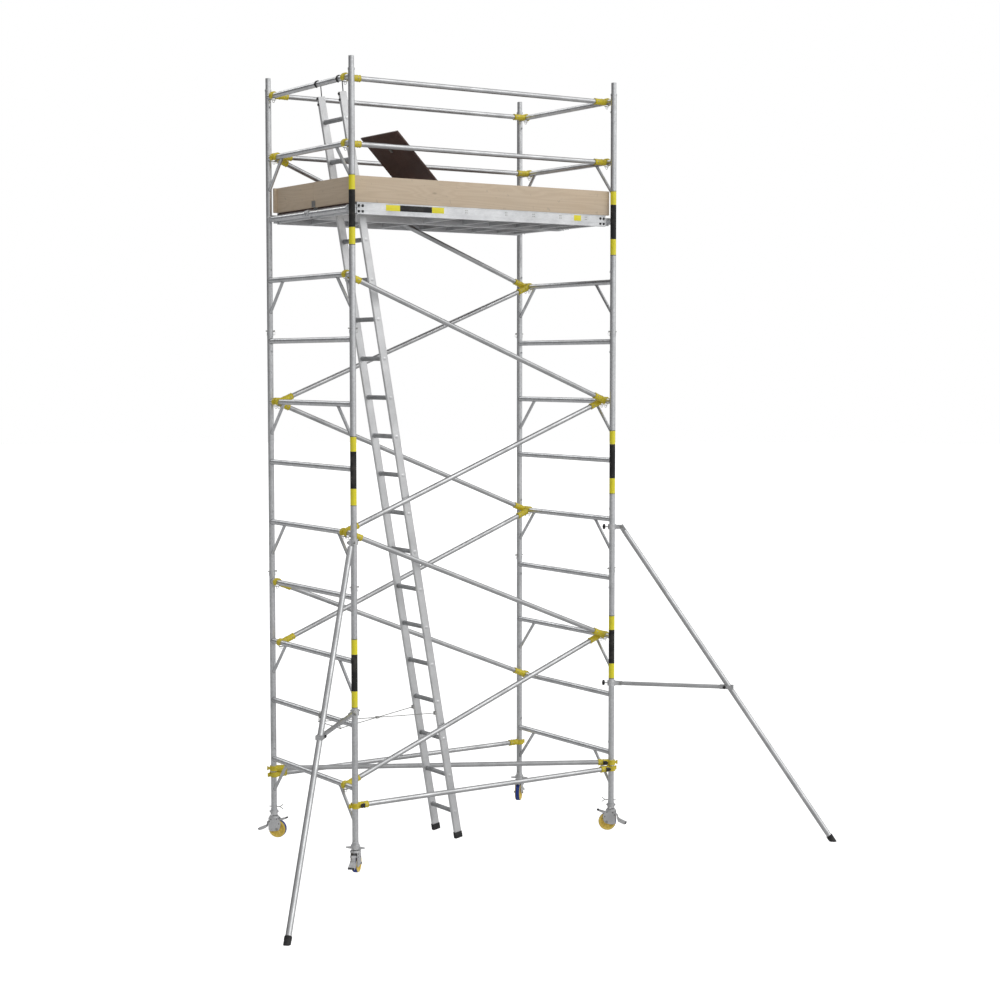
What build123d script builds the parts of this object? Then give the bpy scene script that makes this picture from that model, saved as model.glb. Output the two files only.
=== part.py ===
"""Mobile aluminium scaffold tower: stacked end frames, braces, platform, ladder, castors, outriggers.

All sizes are millimetres. +Z is up, X runs along the long side, -Y is the ladder and outrigger side.
The origin is on the floor under the middle of the tower's bounding box.
"""
import math
import os

from build123d import *

os.makedirs("parts", exist_ok=True)

# ---------------------------------------------------------------- driving dimensions
bay_length = 2508.0  # post centre to post centre along X
frame_width = 1388.0  # post centre to post centre along Y
post_bottom = 232.0  # underside of the lowest post tubes
frame_height = 2000.0  # one end frame, socket to top edge
rung_pitch = 500.0
first_rung = 440.0  # lowest rung above a frame's own bottom edge
post_od = 48.3
post_bore = 42.3
rung_od = 44.0
rung_bore = 39.0
knee_od = 25.4
knee_bore = 21.0
knee_reach = 250.0  # along the rung from the post centre
knee_drop = 280.0  # down the post from the rung
spigot_od = 42.1  # free spigots at the tower's top
joined_spigot_od = 41.4  # spigots inside a joint, and the hidden part of every spigot
spigot_stand = 92.0
spigot_depth = 90.0
joint_gap = 0.05  # gap left between welded neighbours so that each stays its own solid

brace_od = 40.0
brace_bore = 36.0
hook_inset = 95.0  # first hook on a rung, in from the post centre
second_inset = 150.0  # second hook where two braces meet
socket_reach = 130.0  # end of a hook's socket, from the rung centre
base_brace_z = 536.0
plan_brace_z = 588.0

wheel_radius = 75.0
wheel_offset = 31.0  # wheel centre inward of the swivel axis
stem_radius = 19.0
jack_travel = 200.0
stem_top = post_bottom + jack_travel + 48.0

deck_top = 5225.0
rail_depth = 92.0
rail_width = 28.0
rail_bore = 4.0
platform_end = 60.0  # end of the side rails from the rung centre
lid_hinge_x = 1045.0
lid_length = 805.0
lid_near = 118.0
lid_far = 690.0
lid_angle = 45.0
lid_thickness = 12.0
board_height = 200.0
board_thickness = 28.0

ladder_near = 190.0
ladder_far = 535.0
ladder_foot_z = 95.0
ladder_top_z = 6078.0
ladder_lean = 0.1758  # X per unit of height
ladder_top_x = 27.0
stile_depth = 60.0
stile_width = 25.0
ladder_pitch = 309.0  # rung spacing measured vertically
ladder_first = 316.5
ladder_rungs = 19
ladder_rung_od = 36.0
ladder_rung_bore = 31.0

outrigger_angle = 46.0  # from the X axis, outwards
outrigger_radius = 1870.0
outrigger_top = 2608.0
leg_pin_x = 82.0  # leg pivot, out from the post centre
foot_axis_z = 12.0  # height at which the leg's axis reaches its foot radius
outrigger_low = 1272.0
leg_od = 44.0
foot_radius = 27.0
swing_bore = 24.2

pedal_reach = 136.0
pedal_half = 26.0

# ---------------------------------------------------------------- row origin
diagonal = math.sqrt(0.5)
foot_turn = math.radians(outrigger_angle)
leg_run = outrigger_radius - leg_pin_x
leg_rise = outrigger_top - foot_axis_z
leg_length = math.hypot(leg_run, leg_rise)
print_centre = outrigger_radius + foot_axis_z * leg_run / leg_rise
print_long = foot_radius * leg_length / leg_rise  # half length of the foot's oval print on the floor
print_reach = math.hypot(print_long * math.sin(foot_turn), foot_radius * math.cos(foot_turn))
front_extent = -print_centre * math.sin(foot_turn) - print_reach
rear_extent = frame_width + (pedal_reach + pedal_half) * diagonal
left_x = -bay_length / 2
right_x = bay_length / 2
front_y = -(front_extent + rear_extent) / 2
rear_y = front_y + frame_width


def rung_z(number):
    """Height of a tower rung, counted from 1 at the bottom."""
    return post_bottom + first_rung + rung_pitch * (number - 1)


def unit(start, end):
    """Unit vector from one point to another."""
    return (Vector(*end) - Vector(*start)).normalized()


def rod(start, end, radius, mode=Mode.ADD):
    """Add a round bar between two points to the part being built."""
    axis = Vector(*end) - Vector(*start)
    with Locations(Plane(origin=Vector(*start), z_dir=axis.normalized())):
        Cylinder(radius, axis.length, align=(Align.CENTER, Align.CENTER, Align.MIN), mode=mode)


def tube(start, end, outer, bore):
    """Add a straight tube between two points, open at both ends."""
    direction = unit(start, end)
    first = Vector(*start) - direction * 1.0
    last = Vector(*end) + direction * 1.0
    rod(start, end, outer / 2)
    rod(tuple(first), tuple(last), bore / 2, Mode.SUBTRACT)


def block(low, high, mode=Mode.ADD):
    """Add an axis-aligned block between two opposite corners."""
    size = [b - a for a, b in zip(low, high)]
    with Locations(tuple((a + b) / 2 for a, b in zip(low, high))):
        Box(size[0], size[1], size[2], mode=mode)


def plate(plane, outline, half_width, centre=0.0):
    """Add a flat plate: an outline in a plane's X-Z, spread evenly about a Y centre."""
    corners = [plane.from_local_coords((x, centre + half_width, z)) for x, z in outline]
    face = Face(Wire.make_polygon(corners, close=True))
    extrude(to_extrude=face, amount=2 * half_width, dir=-plane.y_dir)


def save(part, name):
    """Label a finished sub-part and write its STEP file."""
    part.label = name
    export_step(part, f"parts/{name}.step")


# ---------------------------------------------------------------- end frames
def end_frame(name, post_x, level):
    """Build and save one welded H-frame: two posts, four rungs, knee braces, spigots and eye clips."""
    base = post_bottom + frame_height * level
    with BuildPart(Plane(origin=(post_x, front_y, base))) as knee_set:
        for index in (0, 2):
            height = first_rung + rung_pitch * index
            for side, inward in ((0.0, 1.0), (frame_width, -1.0)):
                low = (0, side, height - knee_drop)
                high = (0, side + inward * knee_reach, height)
                tube(low, high, knee_od, knee_bore)
        for index in (0, 2):
            height = first_rung + rung_pitch * index
            rod((0, 0, height), (0, frame_width, height), rung_od / 2 + joint_gap, Mode.SUBTRACT)
        for side in (0.0, frame_width):
            rod((0, side, -10), (0, side, frame_height + 10), post_od / 2 + joint_gap, Mode.SUBTRACT)
    with BuildPart(Plane(origin=(post_x, front_y, base))) as rung_set:
        for index in range(4):
            height = first_rung + rung_pitch * index
            tube((0, 0, height), (0, frame_width, height), rung_od, rung_bore)
        for side in (0.0, frame_width):
            rod((0, side, -10), (0, side, frame_height + 10), post_od / 2 + joint_gap, Mode.SUBTRACT)
    with BuildPart(Plane(origin=(post_x, front_y, base))) as post_set:
        for side in (0.0, frame_width):
            tube((0, side, 0), (0, side, frame_height), post_od, post_bore)
    stand_od = spigot_od if level == 2 else joined_spigot_od
    with BuildPart(Plane(origin=(post_x, front_y, base))) as spigot_set:
        for side in (0.0, frame_width):
            with Locations((0, side, frame_height - spigot_depth)):
                Cylinder(joined_spigot_od / 2, spigot_depth + 3, align=(Align.CENTER, Align.CENTER, Align.MIN))
            with Locations((0, side, frame_height + 2)):
                Cylinder(stand_od / 2, spigot_stand - 2, align=(Align.CENTER, Align.CENTER, Align.MIN))
            with Locations((0, side, frame_height - spigot_depth)):
                Cylinder(16.5, spigot_depth + spigot_stand, align=(Align.CENTER, Align.CENTER, Align.MIN),
                         mode=Mode.SUBTRACT)
        spigot_rims = spigot_set.edges().filter_by(GeomType.CIRCLE).group_by(Axis.Z)[-1]
        chamfer(spigot_rims, 2.0)
    with BuildPart(Plane(origin=(post_x, front_y, base))) as collar_set:
        for side in (0.0, frame_width):
            for low in (0.5, frame_height - 14.5):
                with Locations((0, side, low)):
                    Cylinder(26.6, 14, align=(Align.CENTER, Align.CENTER, Align.MIN))
                    Cylinder(post_od / 2 + joint_gap, 14, align=(Align.CENTER, Align.CENTER, Align.MIN),
                             mode=Mode.SUBTRACT)
    with BuildPart(Plane(origin=(post_x, front_y, base))) as clip_set:
        for side, inward in ((0.0, 1.0), (frame_width, -1.0)):
            for height in (first_rung + 86, first_rung + 3 * rung_pitch - 86):
                reach = side + inward * (post_od / 2 + 10)
                with Locations((0, reach, height)):
                    Box(4, 20, 16)
                    Cylinder(4.5, 10, rotation=(0, 90, 0), mode=Mode.SUBTRACT)
        for side in (0.0, frame_width):
            rod((0, side, 0), (0, side, frame_height), post_od / 2 + joint_gap, Mode.SUBTRACT)
    pieces = []
    for group in (post_set, rung_set, knee_set, spigot_set, collar_set, clip_set):
        pieces.extend(group.part.solids())
    welded_frame = Compound(children=pieces)
    save(welded_frame, name)


for side_name, post_x in (("left", left_x), ("right", right_x)):
    for level, level_name in enumerate(("lower", "middle", "upper")):
        end_frame(f"end_frame_{side_name}_{level_name}", post_x, level)

posts = {
    "front_left": (left_x, front_y),
    "front_right": (right_x, front_y),
    "rear_left": (left_x, rear_y),
    "rear_right": (right_x, rear_y),
}
inward_sign = {"front_left": (1, 1), "front_right": (-1, 1), "rear_left": (1, -1), "rear_right": (-1, -1)}

# Lock pins above each frame joint, and the wing screws that hold the castor jacks in the posts.
with BuildPart() as frame_lock_pins:
    for corner, (px, py) in posts.items():
        sign_x = inward_sign[corner][0]
        for level in (1, 2):
            height = post_bottom + frame_height * level + 24
            for start, end in ((post_od / 2 + joint_gap, 36.0), (-38.0, -post_od / 2 - joint_gap)):
                rod((px + sign_x * start, py, height), (px + sign_x * end, py, height), 5.0)
            with Locations((px + sign_x * 38.0, py, height)):
                Sphere(7.5)
        ix, iy = (value * diagonal for value in inward_sign[corner])
        height = post_bottom + 30
        near = post_od / 2 + joint_gap
        rod((px + ix * near, py + iy * near, height), (px + ix * 56, py + iy * 56, height), 4.0)
        rod((px + ix * 52, py + iy * 52, height), (px + ix * 80, py + iy * 80, height + 20), 3.5)
        rod((px + ix * 52, py + iy * 52, height), (px + ix * 80, py + iy * 80, height - 20), 3.5)
        rod((px - ix * near, py - iy * near, height), (px - ix * 42, py - iy * 42, height), 4.0)
save(frame_lock_pins.part, "frame_lock_pins")


# ---------------------------------------------------------------- braces and their hooks
def brace_points(number_left, number_right, y):
    """End points of a brace on the rung centres of the left and right frames."""
    return (left_x, y, rung_z(number_left)), (right_x, y, rung_z(number_right))


front_diagonals = [
    brace_points(9, 7, front_y + hook_inset),
    brace_points(5, 7, front_y + second_inset),
    brace_points(5, 3, front_y + hook_inset),
    brace_points(1, 3, front_y + second_inset),
]
rear_diagonals = [
    brace_points(11, 9, rear_y - hook_inset),
    brace_points(7, 9, rear_y - second_inset),
    brace_points(7, 5, rear_y - hook_inset),
    brace_points(3, 5, rear_y - second_inset),
    brace_points(4, 2, rear_y - hook_inset),
]
rail_lines = [
    brace_points(11, 11, front_y + hook_inset),
    brace_points(12, 12, front_y + hook_inset),
    brace_points(11, 11, rear_y - second_inset),
    brace_points(12, 12, rear_y - hook_inset),
]


def brace_tube(start, end, inset):
    """Add a brace tube that stops short of both hooks' noses."""
    direction = unit(start, end)
    first = Vector(*start) + direction * inset
    last = Vector(*end) - direction * inset
    tube(tuple(first), tuple(last), brace_od, brace_bore)


with BuildPart() as front_braces:
    for start, end in front_diagonals:
        brace_tube(start, end, 45)
save(front_braces.part, "front_diagonal_braces")

with BuildPart() as rear_braces:
    for start, end in rear_diagonals:
        brace_tube(start, end, 45)
save(rear_braces.part, "rear_diagonal_braces")

with BuildPart() as guardrails:
    for start, end in rail_lines:
        brace_tube(start, end, 45)
save(guardrails.part, "guardrails")


def hook(point, direction):
    """Add one cast hook: a C-shaped jaw over the rung and a socket around the brace tube."""
    centre = Vector(*point)
    with Locations(Location(centre, (90, 0, 0))):
        Cylinder(33, 34)
    rod(tuple(centre + direction * 20), tuple(centre + direction * socket_reach), 25.5)
    rod(tuple(centre + direction * 44.9), tuple(centre + direction * (socket_reach + 1)), brace_od / 2 + 0.05,
        Mode.SUBTRACT)
    with Locations(Location(centre, (90, 0, 0))):
        Cylinder(rung_od / 2 + 0.1, 60, mode=Mode.SUBTRACT)
    with Locations((centre.X, centre.Y, centre.Z - 30)):
        Box(2 * 20, 60, 60, mode=Mode.SUBTRACT)


brace_ends = []
for start, end in front_diagonals + rear_diagonals + rail_lines:
    brace_ends.append((start, unit(start, end)))
    brace_ends.append((end, unit(end, start)))

hook_solids = []
for point, direction in brace_ends:
    with BuildPart() as single_hook:
        hook(point, direction)
    hook_solids.append(max(single_hook.part.solids(), key=lambda solid: solid.volume))
brace_hooks = Compound(children=hook_solids)
save(brace_hooks, "brace_hooks")

# Spring latches that close the hooks' jaws under the rungs.
with BuildPart() as hook_latches:
    for point, direction in brace_ends:
        x, y, z = point
        block((x - 19.5, y - 9, z - 36), (x + 19.5, y + 9, z - 31))
        with Locations(Location((x, y, z - 45), (90, 0, 0))):
            Torus(10, 2)
save(hook_latches.part, "hook_latches")

# Horizontal and plan braces at the base, clamped around the posts.
base_lines = [
    ((left_x, front_y, base_brace_z), (right_x, front_y, base_brace_z)),
    ((left_x, rear_y, base_brace_z), (right_x, rear_y, base_brace_z)),
    ((left_x, rear_y, plan_brace_z), (right_x, front_y, plan_brace_z)),
]
with BuildPart() as base_braces:
    for start, end in base_lines:
        brace_tube(start, end, 60)
save(base_braces.part, "base_braces")

clamp_ends = []
for start, end in base_lines:
    clamp_ends.append((start, unit(start, end)))
    clamp_ends.append((end, unit(end, start)))

clamp_solids = []
for point, direction in clamp_ends:
    centre = Vector(*point)
    with BuildPart() as single_clamp:
        with Locations(point):
            Cylinder(36, 42)
        rod(tuple(centre + direction * 20), tuple(centre + direction * 112), 25.5)
        rod(tuple(centre + direction * 59.9), tuple(centre + direction * 120), brace_od / 2 + 0.05, Mode.SUBTRACT)
        with Locations(point):
            Cylinder(post_od / 2 + 0.1, 60, mode=Mode.SUBTRACT)
        back = centre - direction * 34
        with Locations(Plane(origin=back, x_dir=direction, z_dir=(0, 0, 1))):
            Box(26, 30, 60, mode=Mode.SUBTRACT)
    clamp_solids.append(max(single_clamp.part.solids(), key=lambda solid: solid.volume))
base_clamps = Compound(children=clamp_solids)
save(base_clamps, "base_clamps")

with BuildPart() as clamp_latches:
    for point, direction in clamp_ends:
        centre = Vector(*point)
        back = centre - direction * 36
        with Locations(Plane(origin=back, x_dir=direction, z_dir=(0, 0, 1))):
            Box(18, 28, 16)
        with Locations(Plane(origin=back - direction * 14, x_dir=direction, z_dir=(0, 0, 1))):
            Box(12, 10, 34)
    for point, direction in clamp_ends:
        with Locations(point):
            Cylinder(post_od / 2 + 0.1, 60, mode=Mode.SUBTRACT)
save(clamp_latches.part, "base_clamp_latches")

# ---------------------------------------------------------------- platform
deck_edges = {"front": (30.0, 692.0), "rear": (696.0, 1358.0)}
opening = ((112.0, 130.0), (1030.0, 660.0))
brace_slot = ((1060.0, 1270.0), (1215.0, 1316.0))  # lets the top rear diagonal pass through the rear deck


def platform_frame(name, low_y, high_y, hatch):
    """Build and save one platform's aluminium frame with its four rung hooks."""
    x0 = left_x + platform_end
    x1 = right_x - platform_end
    y0 = front_y + low_y
    y1 = front_y + high_y
    top = deck_top
    bottom = deck_top - rail_depth
    with BuildPart() as frame:
        for inner, outer in ((y0, y0 + rail_width), (y1 - rail_width, y1)):
            block((x0, inner, bottom), (x1, outer, top))
            block((x0 - 1, inner + rail_bore, bottom + 4), (x1 + 1, outer - rail_bore, top - 4), Mode.SUBTRACT)
        cross = [x0, x1 - 30]
        cross += [left_x + value for value in (1048.0, 1430.0, 1700.0, 1970.0, 2230.0)]
        if not hatch:
            cross += [left_x + value for value in (360.0, 700.0)]
        for value in cross:
            block((value, y0 + rail_width - 0.5, bottom + 12), (value + 30, y1 - rail_width + 0.5, top - 12.6))
            block((value + 2.5, y0 + rail_width, bottom + 14.5), (value + 27.5, y1 - rail_width, top - 15.1),
                  Mode.SUBTRACT)
        for hook_y in (y0 + 14, y1 - 14):
            for rung_x, inward in ((left_x, 1), (right_x, -1)):
                with Locations(Location((rung_x, hook_y, rung_z(10)), (90, 0, 0))):
                    Cylinder(33, 16)
                block((min(rung_x, rung_x + inward * (platform_end + 8)), hook_y - 8, rung_z(10) - 33),
                      (max(rung_x, rung_x + inward * (platform_end + 8)), hook_y + 8, rung_z(10) + 33))
        for rung_x in (left_x, right_x):
            rod((rung_x, y0 - 40, rung_z(10)), (rung_x, y1 + 40, rung_z(10)), rung_od / 2 + 0.15, Mode.SUBTRACT)
            block((rung_x - 22.15, y0 - 20, rung_z(10) - 60), (rung_x + 22.15, y1 + 20, rung_z(10)), Mode.SUBTRACT)
            for corner_y in (front_y, rear_y):
                rod((rung_x, corner_y, rung_z(10) - 80), (rung_x, corner_y, rung_z(10) + 80), post_od / 2 + 0.2,
                    Mode.SUBTRACT)
        if hatch:
            for hinge_y in (lid_near + 60, lid_far - 60):
                block((left_x + lid_hinge_x + 7, front_y + hinge_y - 21, top - 0.1),
                      (left_x + lid_hinge_x + 36, front_y + hinge_y + 21, top + 3))
                for ear_y in (-18, 18):
                    block((left_x + lid_hinge_x - 4, front_y + hinge_y + ear_y - 3, top - 0.1),
                          (left_x + lid_hinge_x + 12, front_y + hinge_y + ear_y + 3, top + 10))
                with Locations(Location((left_x + lid_hinge_x, front_y + hinge_y, top + 6), (90, 0, 0))):
                    Cylinder(3, 46)
    return frame.part


front_frame = platform_frame("platform_frame_front", *deck_edges["front"], True)
save(front_frame, "platform_frame_front")
rear_frame = platform_frame("platform_frame_rear", *deck_edges["rear"], False)
save(rear_frame, "platform_frame_rear")

for side_name, (low_y, high_y) in deck_edges.items():
    with BuildPart() as deck:
        inner = rail_width + 0.1
        block((left_x + platform_end + 0.1, front_y + low_y + inner, deck_top - 12.5),
              (right_x - platform_end - 0.1, front_y + high_y - inner, deck_top - 0.1))
        if side_name == "front":
            (x0, y0), (x1, y1) = opening
        else:
            (x0, y0), (x1, y1) = brace_slot
        block((left_x + x0, front_y + y0, deck_top - 30), (left_x + x1, front_y + y1, deck_top + 10), Mode.SUBTRACT)
    save(deck.part, f"platform_deck_{side_name}")

# Trapdoor lid, standing open at its rest angle about the hinge pins.
lid_plane = Plane(
    origin=(left_x + lid_hinge_x, front_y, deck_top + 6),
    x_dir=(-math.cos(math.radians(lid_angle)), 0, math.sin(math.radians(lid_angle))),
    z_dir=(math.sin(math.radians(lid_angle)), 0, math.cos(math.radians(lid_angle))),
)
with BuildPart(lid_plane) as trapdoor:
    block((8, -lid_far, -5.5), (lid_length, -lid_near, lid_thickness - 5.5))
    for hinge_y in (lid_near + 60, lid_far - 60):
        block((0, -hinge_y - 14, 3.5), (60, -hinge_y + 14, lid_thickness - 3.5))
        rod((0, -hinge_y - 14, 0), (0, -hinge_y + 14, 0), 6.0)
    for hinge_y in (lid_near + 60, lid_far - 60):
        rod((0, -hinge_y - 30, 0), (0, -hinge_y + 30, 0), 3.05, Mode.SUBTRACT)
        for offset in (-20, 20):
            with Locations((0, -hinge_y + offset, 0)):
                Box(30, 12, 30, mode=Mode.SUBTRACT)
    block((620, -420, -20), (660, -388, 20), Mode.SUBTRACT)
save(trapdoor.part, "trapdoor")

with BuildPart(lid_plane) as trapdoor_latch:
    block((600, -430, lid_thickness - 5.4), (680, -378, lid_thickness - 2.4))
    block((624, -416, -12), (656, -392, lid_thickness - 5.4))
    with Locations(Location((640, -404, lid_thickness - 2.4), (0, 0, 0))):
        Cylinder(13, 4, align=(Align.CENTER, Align.CENTER, Align.MIN))
save(trapdoor_latch.part, "trapdoor_latch")

# Toe boards stand on the platform: long boards front and rear, short boards between them.
board_z = deck_top + 1.5
with BuildPart() as side_toe_boards:
    for y0 in (28.0, frame_width - 28.0 - board_thickness):
        block((left_x + 22, front_y + y0, board_z), (right_x - 22, front_y + y0 + board_thickness,
                                                    board_z + board_height))
save(side_toe_boards.part, "side_toe_boards")

with BuildPart() as end_toe_boards:
    low = front_y + 28.0 + board_thickness + 0.4
    high = rear_y - 28.0 - board_thickness - 0.4
    middle = front_y + frame_width / 2
    for x0 in (left_x + 42, right_x - 42 - board_thickness):
        block((x0, low, board_z), (x0 + board_thickness, middle - 0.5, board_z + board_height))
        block((x0, middle + 0.5, board_z), (x0 + board_thickness, high, board_z + board_height))
save(end_toe_boards.part, "end_toe_boards")


# ---------------------------------------------------------------- ladder
def ladder_x(height):
    """X of the ladder's centre line at a height."""
    return left_x + ladder_top_x + (6076.0 - height) * ladder_lean


ladder_low = (ladder_x(ladder_foot_z), 0.0, ladder_foot_z)
ladder_high = (ladder_x(ladder_top_z), 0.0, ladder_top_z)
ladder_up = unit(ladder_low, ladder_high)
ladder_length = (Vector(*ladder_high) - Vector(*ladder_low)).length
stile_z = 40.0
ladder_plane = Plane(origin=ladder_low, x_dir=(ladder_up.Z, 0, -ladder_up.X), z_dir=ladder_up)
stile_centres = (front_y + ladder_near, front_y + ladder_far)

with BuildPart(ladder_plane) as ladder_stiles:
    for y in stile_centres:
        block((-stile_depth / 2, y - stile_width / 2, stile_z), (stile_depth / 2, y + stile_width / 2, ladder_length))
        block((-stile_depth / 2 + 2.5, y - stile_width / 2 + 2.5, stile_z - 1),
              (stile_depth / 2 - 2.5, y + stile_width / 2 - 2.5, ladder_length + 1), Mode.SUBTRACT)
save(ladder_stiles.part, "ladder_stiles")

rung_heights = [(ladder_first + ladder_pitch * index - ladder_foot_z) / ladder_up.Z for index in range(ladder_rungs)]
with BuildPart(ladder_plane) as ladder_rung_set:
    inner_low = stile_centres[0] + stile_width / 2 + joint_gap
    inner_high = stile_centres[1] - stile_width / 2 - joint_gap
    for height in rung_heights:
        tube((0, inner_low, height), (0, inner_high, height), ladder_rung_od, ladder_rung_bore)
save(ladder_rung_set.part, "ladder_rungs")

with BuildPart(ladder_plane) as ladder_feet:
    for y in stile_centres:
        block((-stile_depth / 2 - 3, y - stile_width / 2 - 3, 0), (stile_depth / 2 + 3, y + stile_width / 2 + 3, 52))
        block((-stile_depth / 2 - 0.1, y - stile_width / 2 - 0.1, stile_z - 0.1),
              (stile_depth / 2 + 0.1, y + stile_width / 2 + 0.1, 60), Mode.SUBTRACT)
save(ladder_feet.part, "ladder_feet")


def rung_crook(number, y, clearance=0.15):
    """Add a C-shaped crook of round bar that hangs on a tower rung's outer side."""
    centre = (left_x, y, rung_z(number))
    radius = rung_od / 2 + clearance
    with Locations(Location(centre, (90, 0, 0))):
        Cylinder(radius + 8, 9)
        Cylinder(radius, 12, mode=Mode.SUBTRACT)
    block((left_x - 6, y - 10, centre[2] - 60), (left_x + 60, y + 10, centre[2]), Mode.SUBTRACT)


crook_solids = []
for y in stile_centres:
    with BuildPart() as top_crook:
        rung_crook(12, y)
        start = (left_x + rung_od / 2 + 4, y, rung_z(12) - 1)
        low_z = ladder_top_z - 90
        rod(start, (ladder_x(low_z), y, low_z), 4.0)
        rod(start, (start[0], y, start[2] + 4), 4.0)
    crook_solids.extend(top_crook.part.solids())
with BuildPart(ladder_plane) as stile_clips:
    for y in stile_centres:
        for height in (ladder_length - 16, ladder_length - 60):
            block((-stile_depth / 2 - 8, y - 8, height - 9), (-stile_depth / 2 - 0.1, y + 8, height + 9))
crook_solids.extend(stile_clips.part.solids())
ladder_hooks = Compound(children=crook_solids)
save(ladder_hooks, "ladder_hooks")

# Ladder stay: crooks on the second rung, a cross rod and two crossing rods out to the stiles.
stay_z = rung_z(2)
stay_solids = []
for y in stile_centres:
    with BuildPart() as low_crook:
        rung_crook(2, y)
        drop = (left_x - rung_od / 2 - 4, y, stay_z)
        rod((drop[0], y, stay_z + 2), (drop[0], y, stay_z - 52), 4.0)
    stay_solids.extend(low_crook.part.solids())
rod_x = left_x - rung_od / 2 - 4
grip_z = stay_z - 20
grip_x = ladder_x(grip_z) - stile_depth / 2 - 8
with BuildPart() as stay_rods:
    rod((rod_x, stile_centres[0] - 16, stay_z - 52), (rod_x, stile_centres[1] + 16, stay_z - 52), 4.0)
    rod((rod_x, stile_centres[0], stay_z - 52), (grip_x, stile_centres[1], grip_z), 3.5)
    rod((rod_x, stile_centres[1], stay_z - 52), (grip_x, stile_centres[0], grip_z), 3.5)
    cross_x = (rod_x + grip_x) / 2
    cross_y = (stile_centres[0] + stile_centres[1]) / 2
    cross_z = (stay_z - 52 + grip_z) / 2
    block((cross_x - 14, cross_y - 12, cross_z - 8), (cross_x + 14, cross_y + 12, cross_z + 8))
    for y in stile_centres:
        block((grip_x - 8, y - 14, grip_z - 14), (grip_x + 4.5, y + 14, grip_z + 14))
with BuildPart() as ladder_stay:
    add(stay_rods.part)
    for solid in stay_solids:
        add(solid)
save(ladder_stay.part, "ladder_stay")


# ---------------------------------------------------------------- castors
def castor_plane(corner):
    """Floor plane under a post, its X axis pointing outward along the castor's travel."""
    px, py = posts[corner]
    sx, sy = inward_sign[corner]
    return Plane(origin=(px, py, 0), x_dir=(-sx * diagonal, -sy * diagonal, 0), z_dir=(0, 0, 1))


cheek_outline = [(42, 170), (42, 66), (28, 54), (-10, 56), (-46, 64), (-58, 84), (-66, 118), (-56, 150), (-40, 170)]
release_outline = [(34, 146), (16, 153.5), (-52, 153.5), (-116, 170), (-118, 174), (-54, 158), (18, 158), (38, 148)]
toe_outline = [(40, 146), (52, 128), (54, 98), (pedal_reach - 6, 66), (pedal_reach, 72), (62, 104), (60, 132),
               (44, 147)]
tread_outline = [(64, 95), (pedal_reach - 6, 66), (pedal_reach, 72), (70, 100)]


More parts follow.
